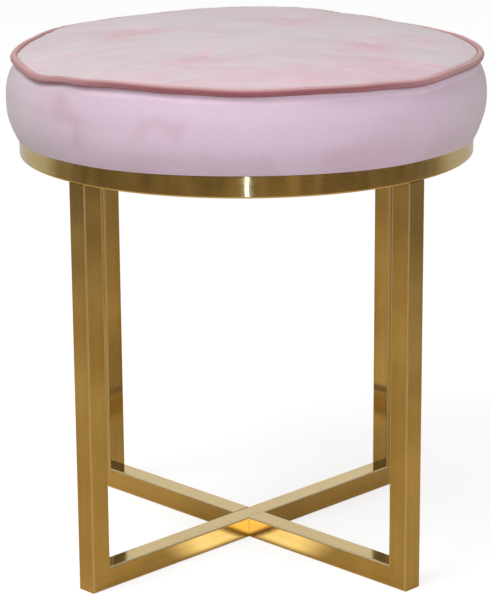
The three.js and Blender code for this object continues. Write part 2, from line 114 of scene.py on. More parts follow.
VELVET = 0.0012
WADDING = 0.0035
LAYER_GAP = 0.0003
WIDEST_RADIUS = RING_RADIUS + 0.0105
WIDEST_HEIGHT = RING_TOP + 0.0295
SEAM_HEIGHT = RING_TOP + 0.0698
SEAM_RADIUS = RING_RADIUS - 0.0014
SHOULDER_DRAW = 0.0092
SHOULDER_POWER = 2.6
SHOULDER_HEIGHT = SEAM_HEIGHT - 0.00425
LIP_RADIUS = RING_RADIUS + 0.0011  # where the side ends, just outside the ring's wall
CROWN_RISE = 0.0185
CROWN_POWER = 2.1
SEAT_SHIFT = 0.0012  # the top sits this far towards +X
CORD_RADIUS = 0.0034
CORD_REACH = SEAM_RADIUS + 0.0047  # to the middle of the cord
FLANGE_RADIUS = 0.0019  # the fold of the piping's sleeve, which lies inside the cord
FLANGE_REACH = SEAM_RADIUS - 0.0004
FLANGE_RISE = 0.0002
PANEL_REACH = FLANGE_REACH - FLANGE_RADIUS - 0.0004
PIPING_WAVE = 0.0036
TUFT_COUNT = 4
TUFT_REACH = 0.109
FIRST_TUFT = radians(70)
DIMPLE_DEPTH = 0.0054  # the broad part of a tuft
DIMPLE_SPREAD = 0.018
PIT_DEPTH = 0.0016  # the pit round the button
PIT_SPREAD = 0.0070

# The seam's height round the seat, as shares of the wave, every 15 degrees from +X
WAVE_SHARES = np.array([
    -0.7, -0.85, -0.95, -0.95, -0.1, 0.8, 0.85, 0.55, 0.15, 0, 0.1, -0.6,
    -0.75, -0.6, -1.4, -0.25, 0.4, 0.15, -0.3, -0.1, -0.4, -1.1, -0.4, -0.6,
])
# How far the side's lip hangs below the ring's top, every 45 degrees from +X
LIP_DROPS = np.array([0.0056, 0.0034, 0.0024, 0.0036, 0.0050, 0.0020, 0.0003, 0.0022])
print("ring", round(RING_RADIUS, 4), "tube", round(TUBE_SIDE, 4), "seam", round(SEAM_HEIGHT, 4))

# %% [markdown]
# ## Surfaces from grids
#
# Nearly every piece here is a grid of points: some rows, each a closed loop, bent into shape
# by a formula. One helper turns such a grid into a mesh. It joins each row to the next with
# four-sided faces, closes either end with a fan of triangles, or joins the last row to the
# first. It also writes a UV map in metres, so that a grain can follow the surface.

# %% Places round an axis, and soft changes
def circle(count):
    """Even angles once round, from 0."""
    return np.linspace(0, 2 * pi, count, endpoint=False)


def points_at(x, y, z):
    """Points from their x, y and z, each a number or a grid of numbers."""
    return np.stack(np.broadcast_arrays(x, y, z), -1)


def around_axis(reach, azimuth, height):
    """Points at a distance from the Z axis, at an azimuth and at a height."""
    return points_at(reach * np.cos(azimuth), reach * np.sin(azimuth), height)


def turned(points, azimuth):
    """Points turned about the Z axis."""
    c, s = cos(azimuth), sin(azimuth)
    return points @ np.array([[c, s, 0], [-s, c, 0], [0, 0, 1]])


def round_table(values, azimuth):
    """Reads values that stand at even steps round the axis, from +X. From each one to the
    next runs half a cosine."""
    along = (azimuth / (2 * pi) * len(values)) % len(values)
    first = np.floor(along).astype(int) % len(values)
    ease = (1 - np.cos((along - np.floor(along)) * pi)) / 2
    here, after = values[first], values[(first + 1) % len(values)]
    return here + (after - here) * ease


def smooth_step(value, low, high):
    """0 below low, 1 above high, and 3t^2 - 2t^3 between them."""
    t = np.clip((value - low) / (high - low), 0, 1)
    return t * t * (3 - 2 * t)


RIPPLE_WAVES = 9


def ripple(points, wavelength, seed):
    """A soft, uneven field of about -1 to 1: the sum of sine waves in random directions over
    the root of their number, their lengths spread round the given wavelength."""
    random = np.random.default_rng(seed)
    ways = random.normal(size=(RIPPLE_WAVES, 3))
    ways /= np.linalg.norm(ways, axis=1, keepdims=True)
    pitch = 2 * pi / (wavelength * random.uniform(0.7, 1.4, RIPPLE_WAVES))
    phase = random.uniform(0, 2 * pi, RIPPLE_WAVES)
    waves = np.sin(points @ (ways * pitch[:, None]).T + phase)
    return waves.sum(-1) / sqrt(RIPPLE_WAVES)


# %% The grid helper
def grid_mesh(name, rows, ends=None, closed=False, creases=35):
    """A mesh from rows[i, j] = the i-th loop's j-th point. Its faces point outwards where the
    loops run clockwise, seen from beyond the first one. A closed grid joins its last loop to
    its first. In an open one, ends are the two points where the fans meet: the middles of the
    two loops unless given, and None leaves an end open. rows[:, ::-1] turns all faces round.
    UV is (metres along the rows, metres round the loop), the other way round in a closed grid,
    whose loops run along the tube. Along the rows a step has its mean length, and round the
    loop its shortest, which is the one where a tube is cut square. Edges that bend by more
    than creases, in degrees, stay sharp."""
    if closed:
        rows, ends = np.concatenate([rows, rows[:1]]), (None, None)
    elif ends is None:
        ends = rows[0].mean(0), rows[-1].mean(0)
    count, around = rows.shape[:2]
    kept = (count - closed) * around  # a closed grid's last loop is its first one again
    points = rows.reshape(-1, 3)[:kept]
    round_loop = np.linalg.norm(np.roll(rows, -1, 1) - rows, axis=2).min(0)
    across = np.concatenate([[0], np.cumsum(round_loop)])
    steps = np.linalg.norm(np.diff(rows, axis=0), axis=2).mean(1)
    along = np.concatenate([[0], np.cumsum(steps)])
    i, j = np.meshgrid(np.arange(count - 1), np.arange(around), indexing="ij")
    corners = ((i, j), (i, j + 1), (i + 1, j + 1), (i + 1, j))
    quads = np.stack([(row * around + column % around) % kept for row, column in corners], -1)
    faces = quads.reshape(-1, 4).tolist()
    uv = np.stack([np.stack([along[row], across[column]], -1) for row, column in corners], -2)
    uv = uv.reshape(-1, 2)
    here = np.arange(around)
    after = (here + 1) % around
    for tip, row, pair in zip(ends, (0, count - 1), ((after, here), (here, after))):
        if tip is None:
            continue
        tips = np.full(around, len(points))
        points = np.vstack([points, tip])
        faces += np.stack([row * around + pair[0], row * around + pair[1], tips], -1).tolist()
        fan_uv = np.stack([np.full(around, along[row]), across[here]], -1)
        uv = np.concatenate([uv, np.repeat(fan_uv, 3, axis=0)])
    mesh = bpy.data.meshes.new(name)
    mesh.from_pydata(points.tolist(), [], faces, shade_flat=False)
    layer = mesh.uv_layers.new(name="UVMap")
    layer.data.foreach_set("uv", (uv[:, ::-1] if closed else uv).astype(np.float32).ravel())
    mesh.set_sharp_from_angle(angle=radians(creases))
    return mesh


def read_points(mesh):
    """The mesh's vertices, one to a row."""
    points = np.zeros(len(mesh.vertices) * 3, np.float32)
    mesh.vertices.foreach_get("co", points)
    return points.reshape(-1, 3)


def copies_round(name, rows, count, first=0.0, flat=False):
    """One mesh of equal capped grids, turned about the Z axis in even steps."""
    single = grid_mesh(name, rows)
    points = read_points(single).astype(float)
    faces = [tuple(face.vertices) for face in single.polygons]
    bpy.data.meshes.remove(single)
    places = [turned(points, first + step * 2 * pi / count) for step in range(count)]
    mesh = bpy.data.meshes.new(name)
    mesh.from_pydata(np.concatenate(places).tolist(), [], [
        [corner + step * len(points) for corner in face] for step in range(count)
        for face in faces
    ], shade_flat=flat)
    return mesh


def add_piece(name, mesh, material, slot, *stands_for):
    """An object of the stool: it takes the material, rides on the body and replaces the
    solid model's pieces that it stands for."""
    made = add_object(name, mesh)
    mesh.materials.append(material)
    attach(made, "root")
    if stands_for:
        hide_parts(*stands_for)
    return made


# %% [markdown]
# ## Helpers for materials
#
# A material is a small tree of nodes. `put` adds one node, fills its sockets with plain values
# or with links, and gives its outputs back as wires. Wires can be added and multiplied like
# numbers, so a formula reads as it would on paper. Colours are written as a screen shows them,
# and `paint` turns them into the linear values that the shader wants.

# %% Node helpers
class Wire:
    """One output of a node. A sum, a difference or a product adds the maths node for it."""

    def __init__(self, socket):
        self.socket, self.tree = socket, socket.id_data

    def maths(self, operation, *others):
        """The result of a maths node on this wire and the others."""
        sockets = dict(enumerate((self, *others)))
        return put(self.tree, "Math", sockets, operation=operation)[0]

    def __add__(self, other):
        return self.maths("ADD", other)

    def __sub__(self, other):
        return self.maths("SUBTRACT", other)

    def __mul__(self, other):
        return self.maths("MULTIPLY", other)


def put(tree, kind, sockets=None, **settings):
    """Adds a node. sockets gives input name or number -> a value, or a wire to link. What
    comes back gives each output as a wire, by its name and by its number."""
    made = tree.nodes.new("ShaderNode" + kind)
    for key, value in settings.items():
        setattr(made, key, value)
    for key, value in (sockets or {}).items():
        if isinstance(value, Wire):
            tree.links.new(value.socket, made.inputs[key])
        else:
            made.inputs[key].default_value = value
    wires = [Wire(socket) for socket in made.outputs]
    return {wire.socket.name: wire for wire in wires} | dict(enumerate(wires))


def paint(red, green, blue):
    """A colour on a screen, 0 to 255, as a linear colour with alpha 1."""
    shown = np.array([red, green, blue]) / 255
    linear = np.where(shown <= 0.04045, shown / 12.92, ((shown + 0.055) / 1.055) ** 2.4)
    return (*linear.tolist(), 1.0)


def blend(factor, first, second):
    """The colour that lies between first and second by the factor, a wire."""
    sockets = {0: factor, 6: first, 7: second}
    return put(factor.tree, "Mix", sockets, data_type="RGBA")[2]


def spread(wire, low, high, to_low=0.0, to_high=1.0):
    """Maps a wire from low..high to to_low..to_high, with soft ends."""
    sockets = {"Value": wire, "From Min": low, "From Max": high}
    sockets |= {"To Min": to_low, "To Max": to_high}
    return put(wire.tree, "MapRange", sockets, interpolation_type="SMOOTHSTEP")[0]


def noise(vector, scale, detail=2.0, rough=0.5, bent=0.0):
    """Noise over a vector, a wire, with so many features per metre."""
    return put(vector.tree, "TexNoise", {
        "Vector": vector, "Scale": scale, "Detail": detail, "Roughness": rough,
        "Distortion": bent,
    })[0]


def stretched(vector, by):
    """The vector with each axis multiplied: noise over it is drawn out where that is small."""
    return put(vector.tree, "VectorMath", {0: vector, 1: by}, operation="MULTIPLY")[0]


def axis(vector, number):
    """The vector's X, Y or Z: number 0, 1 or 2."""
    return put(vector.tree, "SeparateXYZ", {0: vector})[number]


def shaded(colour, factor):
    """A colour made lighter or darker by a factor, a wire."""
    return put(factor.tree, "VectorMath", {0: colour, 3: factor}, operation="SCALE")[0]


def new_material(name, sockets):
    """A material with a Principled BSDF, whose even values are set on its own sockets. Gives
    the material, its shader and the object's coordinates."""
    material = bpy.data.materials.new(name)
    material.use_nodes = True
    shader = material.node_tree.nodes["Principled BSDF"]
    for key, value in sockets.items():
        shader.inputs[key].default_value = value
    return material, shader, put(material.node_tree, "TexCoord")["Object"]


def dress(shader, colour, height, distance, strength):
    """Links a colour, and a bump whose full height is the distance in metres."""
    tree = shader.id_data
    bump = put(tree, "Bump", {"Height": height, "Distance": distance, "Strength": strength})
    tree.links.new(colour.socket, shader.inputs["Base Color"])
    tree.links.new(bump[0].socket, shader.inputs["Normal"])


def new_group(name, inputs):
    """A node group without outputs yet, and its inputs as wires. inputs gives name -> a
    number, or None for a vector."""
    tree = bpy.data.node_groups.new(name, "ShaderNodeTree")
    for key, value in inputs.items():
        kind = "NodeSocketVector" if value is None else "NodeSocketFloat"
        socket = tree.interface.new_socket(key, in_out="INPUT", socket_type=kind)
        if value is not None:
            socket.default_value = value
    entry = tree.nodes.new("NodeGroupInput")
    return tree, {key: Wire(entry.outputs[key]) for key in inputs}


def end_group(tree, wires):
    """Gives the group its outputs, name -> wire."""
    for key in wires:
        tree.interface.new_socket(key, in_out="OUTPUT", socket_type="NodeSocketFloat")
    leave = tree.nodes.new("NodeGroupOutput")
    for key, wire in wires.items():
        tree.links.new(wire.socket, leave.inputs[key])


# %% [markdown]
# ## Effects that finishes share
#
# Velvet, whether pink or rose, is a pile of short fibres that lean. Where a hand has brushed
# it the other way it shows deeper, so its tone wanders in soft patches and faint streaks.
# Metal that has been polished keeps fine lines along the tube, bands across it and soft marks
# of handling. Both effects are node groups, built once and used with different values.

# %% The nap of velvet
PILE_SCALE = 1900.0  # per metre: fibres about half a millimetre apart

nap_group, nap_in = new_group("Velvet nap", {
    "Vector": None, "Patch Scale": 14.0, "Streak Scale": 45.0, "Drawn Out": None, "Seed": 0.0,
})
moved = put(nap_group, "VectorMath", {0: nap_in["Vector"], 1: nap_in["Seed"]},
            operation="ADD")[0]
streak_noise = noise(stretched(moved, nap_in["Drawn Out"]), nap_in["Streak Scale"],
                     detail=3.0, rough=0.6, bent=1.6)
patch_noise = noise(moved, nap_in["Patch Scale"], detail=2.5, rough=0.45, bent=0.8)
end_group(nap_group, {
    "Patches": spread(patch_noise, 0.36, 0.66),
    "Streaks": spread(streak_noise, 0.3, 0.7),
    "Pile": noise(nap_in["Vector"], PILE_SCALE, detail=1.5, rough=0.7),
})

# %% The marks of polishing
LINE_SCALE, BAND_SCALE, SMEAR_SCALE, WAVE_SCALE = 1400.0, 170.0, 26.0, 34.0
LINE_HEIGHT = 0.012  # as a share of the waviness

polish_group, polish_in = new_group("Polished metal", {"Along": None, "Place": None})
along_tube = stretched(polish_in["Along"], (0.012, 1.0, 1.0))
lines = noise(along_tube, LINE_SCALE, detail=3.0, rough=0.6)
bands = noise(along_tube, BAND_SCALE, detail=2.0, rough=0.6)
smears = noise(polish_in["Place"], SMEAR_SCALE, detail=3.0, rough=0.6, bent=0.7)
waviness = noise(polish_in["Place"], WAVE_SCALE, detail=0.5, rough=0.4)
end_group(polish_group, {
    "Lines": spread(lines, 0.3, 0.7), "Bands": spread(bands, 0.32, 0.68),
    "Smears": spread(smears, 0.35, 0.7), "Height": waviness + lines * LINE_HEIGHT,
})

# %% [markdown]
# ## Brass
#
# The tube is steel with a polished brass coating. It is a metal, so nearly all of its look is
# what it mirrors, tinted yellow. Fine polishing lines run along each tube, where the UV map
# gives the way, and its tone wanders in long bands. The round corners are worn paler, and
# the paler tint also paints the thin bright highlight line down each corner. The flat faces
# are never quite flat, so a very low bump bends what they mirror.

# %% Brass and steel
GUARD = 0.0002  # from the end of each quarter circle of the outline to a point on the flat
CORNER_MIDDLE = GUARD + pi / 4 * TUBE_CORNER  # from the outline's first point to its corner
SIDE_PITCH = TUBE_SIDE - 2 * TUBE_CORNER + pi / 2 * TUBE_CORNER  # from corner to corner
WORN_AND_HIGHLIGHT_TINT = (0.85, 0.70, 0.42, 1)
METAL_WAVE = 0.00006


def polished_metal(name, tint, deep_tint, rough, rougher, is_tube=False):
    """A polished metal: tint wanders to deep_tint in smears and in bands along the tube, rough
    to rougher in the grain. On the tube, the corners are worn paler and less smooth, and their
    paler tint also paints a highlight line along each corner: they are found from how far round
    the outline a point lies."""
    material, shader, place = new_material(name, {"Metallic": 1.0})
    tree = material.node_tree
    along = put(tree, "TexCoord")["UV"] if is_tube else place
    polish = put(tree, "Group", {"Along": along, "Place": place}, node_tree=polish_group)
    tone = blend(polish["Smears"] * 0.4 + polish["Bands"] * 0.6, tint, deep_tint)
    wear = spread(polish["Smears"] * 0.4 + polish["Lines"] * 0.6, 0.0, 1.0, rough, rougher)
    if is_tube:
        from_corner = axis(along, 1) - CORNER_MIDDLE
        from_corner = from_corner.maths("WRAP", SIDE_PITCH / 2, -SIDE_PITCH / 2)
        edge = spread(from_corner.maths("ABSOLUTE"), 0.0004, CORNER_MIDDLE, 1.0, 0.0)
        # the corners' paler tint: wear, and a painted highlight line along each corner
        tone = blend(edge, tone, WORN_AND_HIGHLIGHT_TINT)
        wear = wear.maths("MAXIMUM", edge * 0.4)
    tree.links.new(wear.socket, shader.inputs["Roughness"])
    dress(shader, tone, polish["Height"], METAL_WAVE, 1.0)
    return material


brass = polished_metal("polished_brass", (0.71, 0.54, 0.25, 1), (0.64, 0.47, 0.20, 1),
                       0.05, 0.13, is_tube=True)
brass_plate = polished_metal("brass_plate", (0.70, 0.53, 0.25, 1), (0.60, 0.44, 0.19, 1),
                             0.18, 0.32)
zinc = polished_metal("zinc_steel", (0.66, 0.66, 0.64, 1), (0.5, 0.5, 0.48, 1), 0.28, 0.45)
print("metals ready")

# %% [markdown]
# ## Velvet
#
# The seat is covered in a pale pink velvet and piped in a dusty rose one. Three things make
# velvet look like velvet: a tone that changes with the way the pile leans, a soft light on
# every edge that turns away (the sheen), and no sharp shine at all. The big patches on the
# cushion are placed with a mesh attribute, and noise does the rest.

# %% Velvet
def velvet(name, smooth, painted_sheen_tone, brushed_back, sheen_tint, sheen, seed, drawn_out,
           patch_scale=15.0, wander=0.3, streaked=0.16):
    """A velvet whose tone goes from smooth, stroked with the pile, to brushed_back, against
    it. The smooth tone is the one seen face on, and at a glancing angle it turns to
    painted_sheen_tone, a painted sheen. Its streaks run along the axis where drawn_out is small.
    wander and streaked are the shares of the noise. A mark below zero shows paler: pile that
    stands open, and just under the piping, painted light over the shadow that the piping casts."""
    material, shader, place = new_material(name, {
        "Roughness": 0.85, "Specular IOR Level": 0.18, "Sheen Weight": sheen,
        "Sheen Roughness": 0.42, "Sheen Tint": sheen_tint,
    })
    tree = material.node_tree
    nap = put(tree, "Group", {
        "Vector": place, "Patch Scale": patch_scale, "Drawn Out": drawn_out, "Seed": seed,
    }, node_tree=nap_group)
    marks = put(tree, "Attribute", attribute_name="pile_marks_and_painted_light")["Fac"]
    soft = nap["Patches"] * wander
    lean = soft + marks + nap["Streaks"] * streaked
    # painted sheen: a greyer, paler tone where the cloth is seen at a glancing angle
    painted_sheen = spread(put(tree, "LayerWeight", {"Blend": 0.5})["Facing"], 0.42, 0.74)
    base = blend(painted_sheen, smooth, painted_sheen_tone)
    base = blend(spread(lean, 0.14, 1.3), base, brushed_back)
    fibres = spread(nap["Pile"], 0.25, 0.75, 0.93, 1.05)
    # a mark below zero shows paler: pile that stands open, and just under the piping, painted light
    # over the piping's shadow
    paler_pile_and_painted_light = spread(marks, -0.5, -0.1, 0.16, 0.0)
    shade = fibres + nap["Streaks"] * (-0.2 * streaked) + paler_pile_and_painted_light
    dress(shader, shaded(base, shade), nap["Pile"] * 0.35 + soft, 0.0005, 0.5)
    return material


ACROSS, UPRIGHT = (0.25, 1.0, 0.7), (1.0, 1.0, 0.4)  # which way the streaks run
velvet_top = velvet("pink_velvet_top", paint(229, 197, 207), paint(223, 210, 213),
                    paint(230, 183, 194), (0.92, 0.88, 0.90, 1), 0.25, 0.0, ACROSS, wander=0.22,
                    streaked=0.26)
velvet_side = velvet("pink_velvet_side", paint(217, 195, 210), paint(218, 202, 210),
                     paint(200, 162, 178), (0.90, 0.87, 0.85, 1), 0.3, 3.7, UPRIGHT,
                     patch_scale=12.0, streaked=0.05)
velvet_button = velvet("pink_velvet_button", paint(216, 186, 196), paint(214, 196, 202),
                       paint(204, 170, 180), (0.92, 0.86, 0.88, 1), 0.25, 5.1, ACROSS,
                       patch_scale=60.0)


def normal_height(tree):
    """How far the surface faces up: the normal's Z, from -1 to 1."""
    return axis(put(tree, "NewGeometry")["Normal"], 2)


def piping_velvet():
    """Rose velvet stretched over a cord. Light is painted into its colour: the pale tone, a
    painted highlight, where it faces up, the same pale tone as a painted sheen where it is seen
    at a glancing angle, and the deep tone elsewhere. The normal's height and the glancing angle
    pick the tone."""
    material, shader, place = new_material("rose_velvet", {
        "Roughness": 0.8, "Specular IOR Level": 0.2, "Sheen Weight": 0.22,
        "Sheen Roughness": 0.4, "Sheen Tint": (0.95, 0.80, 0.76, 1),
    })
    tree = material.node_tree
    nap = put(tree, "Group", {"Vector": place, "Patch Scale": 28.0, "Seed": 7.3},
              node_tree=nap_group)
    height = normal_height(tree)
    # painted highlight: the more the cord faces up, the more of the pale tone it gets
    up = spread(height, -1.0, 1.0).maths("POWER", 8.0)
    # painted sheen: the pale tone at a glancing angle, but not on the underside
    painted_sheen = put(tree, "LayerWeight", {"Blend": 0.5})["Facing"]
    painted_sheen = spread(painted_sheen, 0.06, 0.5, 0.0, 0.62) * spread(height, -0.9, -0.1)
    worn = nap["Patches"] * 0.35
    # deep is the rose's own tone, and pale its painted lit and sheen tone
    deep = blend(worn, paint(147, 88, 94), paint(157, 98, 103))
    pale = blend(worn, paint(208, 168, 167), paint(199, 156, 156))
    base = blend(up.maths("MAXIMUM", painted_sheen), deep, pale)
    shade = spread(nap["Pile"], 0.25, 0.75, 0.93, 1.06)
    dress(shader, shaded(base, shade), nap["Pile"], 0.0003, 0.5)
    return material


velvet_rose = piping_velvet()
print("velvets ready")

# %% [markdown]
# ## Hidden materials
#
# Foam, fibre wadding, plywood, dust cloth, twine and plastic are seen only from below or when
# the seat is taken apart, but each still has the detail that tells it from the others.

# %% Foam, wadding, cloth, plywood, twine and plastic
def soft_stuff(name, light, dark, scale, distance, rough=0.95, kind="TexNoise"):
    """A soft material with an even grain of the given scale per metre."""
    material, shader, place = new_material(name, {"Roughness": rough,
                                                  "Specular IOR Level": 0.15})
    grain = put(material.node_tree, kind, {"Vector": place, "Scale": scale})[0]
    both = spread(grain, 0.1, 0.7) * noise(place, scale / 25, detail=3.0)
    dress(shader, blend(spread(both, 0.0, 0.6), dark, light), grain, distance, 0.8)
    return material


foam = soft_stuff("foam", paint(238, 226, 190), paint(206, 188, 142), 700.0, 0.0006,
                  kind="TexVoronoi")
fibre = soft_stuff("fibre_wadding", paint(246, 244, 240), paint(222, 220, 214), 420.0, 0.0008)
cord_twine = soft_stuff("twine", paint(226, 216, 190), paint(184, 170, 140), 1600.0, 0.0003)
plastic = soft_stuff("anchor_plastic", paint(222, 222, 220), paint(206, 206, 203), 500.0,
                     0.00002, rough=0.45)


def dust_cloth():
    """Thin black non-woven cloth: pressed fibres, with a regular pattern of tiny welds."""
    material, shader, place = new_material("black_dust_cloth", {
        "Roughness": 0.92, "Specular IOR Level": 0.2, "Sheen Weight": 0.15,
    })
    fibres = noise(place, 900.0, detail=4.0, bent=2.0)
    dots = put(place.tree, "TexVoronoi", {"Vector": place, "Scale": 520.0, "Randomness": 0.15})
    height = spread(dots[0], 0.12, 0.3) * (fibres + 0.5)
    dress(shader, blend(fibres, paint(16, 16, 18), paint(44, 44, 47)), height, 0.0002, 0.9)
    return material


PLY_THICKNESS = 0.0015


def plywood_sheet():
    """Birch plywood: long grain on the faces, and dark and light plies on the edge."""
    material, shader, place = new_material("plywood", {"Roughness": 0.7})
    grain = noise(stretched(place, (1.0, 14.0, 6.0)), 16.0, detail=5.0, bent=0.6)
    plies = axis(place, 2).maths("PINGPONG", PLY_THICKNESS)
    edge = spread(normal_height(place.tree).maths("ABSOLUTE"), 0.4, 0.8, 1.0, 0.0)
    wood = blend(grain, paint(212, 186, 144), paint(186, 152, 106))
    ply_tone = spread(plies, 0.0004, 0.0011) * edge * 0.6
    dress(shader, blend(ply_tone, wood, paint(120, 84, 50)), grain, 0.0002, 0.6)
    return material


black_cloth = dust_cloth()
plywood = plywood_sheet()

# %% [markdown]
# ## The square tube
#
# All of the metalwork is one square tube with small round corners. Its outline is a closed
# loop of points: four straight sides and four quarter circles. Next to each quarter circle
# the side has one more point, very close, so that smooth shading bends only at the corner
# and each side stays truly flat, as a mirror has to be.

# %% The tube's outline
CORNER_STEPS = 7


def tube_outline():
    """The section as (across, up) points, anticlockwise: for each corner, a guard point, an
    arc (middle + corner radius * (cos, sin)) and another guard point."""
    flat = HALF_TUBE - TUBE_CORNER
    parts = []
    for quarter, (across, up) in enumerate(((1, 1), (-1, 1), (-1, -1), (1, -1))):
        first = quarter * pi / 2
        angles = first + np.linspace(0, pi / 2, CORNER_STEPS + 1)
        arc = np.stack([across * flat + TUBE_CORNER * np.cos(angles),
                        up * flat + TUBE_CORNER * np.sin(angles)], -1)
        before = np.array([sin(first), -cos(first)]) * GUARD
        beyond = np.array([-cos(first), -sin(first)]) * GUARD
        parts += [arc[:1] + before, arc, arc[-1:] + beyond]
    return np.concatenate(parts)


TUBE_ACROSS, TUBE_UP = tube_outline().T

# %% [markdown]
# ## The apron ring
#
# The ring is the tube rolled to a circle. Its loops run round the axis, one for each point of
# the outline, with enough steps that the mirror in it runs without corners. The last loop is
# joined to the first, so that no seam shows.

# %% Apron ring
RING_STEPS = 288

TUBE_REACH = RING_RADIUS - HALF_TUBE + TUBE_ACROSS  # of the ring's and the legs' outline points
ring_rows = around_axis(TUBE_REACH[:, None], circle(RING_STEPS),
                        (RING_TOP - HALF_TUBE + TUBE_UP)[:, None])
ring_mesh = grid_mesh("apron_ring", ring_rows, closed=True)
add_piece("apron_ring_polished", ring_mesh, brass, "polished_brass", "apron_ring")
print("ring faces", len(ring_mesh.polygons))

# %% [markdown]
# ## Legs and floor bars
#
# Each leg meets its floor bar at a mitre, like the corner of a picture frame, ground and
# polished so that no joint shows. The long bar runs right through. The two half bars butt
# against its sides, and a hairline is left there, as on the real crossing.

# %% Legs and floor bars
TUBE_ROWS = 10


def straight_tube(start, end):
    """Rows in even steps from the outline's points at one cut to those at the other."""
    return start + (end - start) * np.linspace(0, 1, TUBE_ROWS)[:, None, None]


# A leg with its outward side along +X. Its foot is cut by the mitre: its height there is half
# the tube less the point's place across.
leg_rows = straight_tube(points_at(TUBE_REACH, TUBE_UP, HALF_TUBE - TUBE_ACROSS),
                         points_at(TUBE_REACH, TUBE_UP, RING_TOP - TUBE_SIDE))
# The bars along +X. An end that carries a leg is drawn in by the point's height.
bar_height = HALF_TUBE + TUBE_UP
bar_end = points_at(RING_RADIUS - bar_height, TUBE_ACROSS, bar_height)
long_rows = straight_tube(points_at(bar_height - RING_RADIUS, TUBE_ACROSS, bar_height), bar_end)
half_rows = straight_tube(points_at(HALF_TUBE + HAIRLINE, TUBE_ACROSS, bar_height), bar_end)
# Each straight tube: its name, its rows, and how many quarter turns it stands from FIRST_LEG
STRAIGHT_TUBES = (
    ("leg_back_right", leg_rows, 0), ("leg_back_left", leg_rows, 1),
    ("leg_front_left", leg_rows, 2), ("leg_front_right", leg_rows, 3),
    ("floor_bar_long", long_rows, 0), ("floor_bar_half_back", half_rows, 1),
    ("floor_bar_half_front", half_rows, -1),
)
for name, rows, quarters in STRAIGHT_TUBES:
    mesh = grid_mesh(name, turned(rows, FIRST_LEG + quarters * pi / 2))
    add_piece(name + "_polished", mesh, brass, "polished_brass", name)
print("legs and bars made")

# %% [markdown]
# ## The cushion's shape
#
# The cushion is described once, by a few formulas: how high the seam is at an azimuth, how
# the side bulges, and how the top is crowned and tufted. Every layer, from velvet to foam,
# is the same shape at its own depth.

# %% Formulas of the cushion
TUFT_AZIMUTHS = FIRST_TUFT + np.arange(TUFT_COUNT) * 2 * pi / TUFT_COUNT
TUFTS = around_axis(TUFT_REACH, TUFT_AZIMUTHS, 0)[:, :2]
PUCKERS = 7
PUCKER_HEIGHT = 0.0006
PUCKER_REACH, PUCKER_WIDTH = 0.015, 0.011  # the ring of puckers round each tuft
VALLEY_DEPTH, VALLEY_WIDTH = 0.0006, 0.011
VALLEY_END = 0.02  # over how much of its length a valley fades in and out
SWELL, SWELL_LENGTH = 0.0005, 0.10  # the side's soft unevenness
CROWN_SWELL, CROWN_SWELL_LENGTH = 0.0004, 0.07


def seam_wave(azimuth):
    """How far the seam lies over its mean height."""
    return PIPING_WAVE * round_table(WAVE_SHARES, azimuth)


def tuft_distances(x, y):
    """The distance and the bearing of each point from each tuft."""
    away_x = x[..., None] - TUFTS[:, 0]
    away_y = y[..., None] - TUFTS[:, 1]
    return np.hypot(away_x, away_y), np.arctan2(away_y, away_x)


def tuft_sink(x, y):
    """How far the tufts pull the top down. Each tuft is a broad dimple, depth *
    exp(-(d/s)^1.3), with a narrow pit in its middle, depth * exp(-(d/s)^4). A ring of puckers
    stands round it, cosines of the bearing that fade outwards, and a shallow valley runs from
    each tuft to the next."""
    distance, bearing = tuft_distances(x, y)
    sink = (DIMPLE_DEPTH * np.exp(-(distance / DIMPLE_SPREAD) ** 1.3)
            + PIT_DEPTH * np.exp(-(distance / PIT_SPREAD) ** 4)).sum(-1)
    phase = np.arange(TUFT_COUNT) * 1.7
    fade = np.exp(-((distance - PUCKER_REACH) / PUCKER_WIDTH) ** 2)
    folds = np.cos(PUCKERS * bearing + phase) * 0.6 + np.cos(4 * bearing - 2 * phase) * 0.4
    sink = sink - (PUCKER_HEIGHT * fade * folds).sum(-1)
    for a, b in zip(TUFTS, np.roll(TUFTS, -1, 0)):
        length = np.linalg.norm(b - a)
        way = (b - a) / length
        along = (x - a[0]) * way[0] + (y - a[1]) * way[1]
        aside = (x - a[0]) * way[1] - (y - a[1]) * way[0]
        window = smooth_step(along, 0, VALLEY_END) * smooth_step(length - along, 0, VALLEY_END)
        sink = sink + VALLEY_DEPTH * window * np.exp(-(aside / VALLEY_WIDTH) ** 2)
    return sink


def side_points(height, azimuth, foot):
    """The side at a height and an azimuth. Its radius is widest at WIDEST_HEIGHT, drawn in by
    a power law above it and by a square law below it, to LIP_RADIUS at the foot. The seam's
    wave is eased in from the widest height to the shoulder, the top's shift near the shoulder,
    and a soft unevenness goes over it all."""
    up = np.clip((height - WIDEST_HEIGHT) / (SHOULDER_HEIGHT - WIDEST_HEIGHT), 0, None)
    down = np.clip((WIDEST_HEIGHT - height) / (WIDEST_HEIGHT - foot), 0, None)
    reach = WIDEST_RADIUS - SHOULDER_DRAW * up ** SHOULDER_POWER \
        - (WIDEST_RADIUS - LIP_RADIUS) * down ** 2
    lifted = height + seam_wave(azimuth) * smooth_step(height, WIDEST_HEIGHT, SHOULDER_HEIGHT)
    swell = SWELL * smooth_step(lifted, RING_TOP + 0.002, RING_TOP + 0.02)
    reach = reach + swell * ripple(around_axis(reach, azimuth, lifted), SWELL_LENGTH, seed=21)
    points = around_axis(reach, azimuth, lifted)
    points[..., 0] += SEAT_SHIFT * smooth_step(height, SHOULDER_HEIGHT - 0.008, SHOULDER_HEIGHT)
    return points


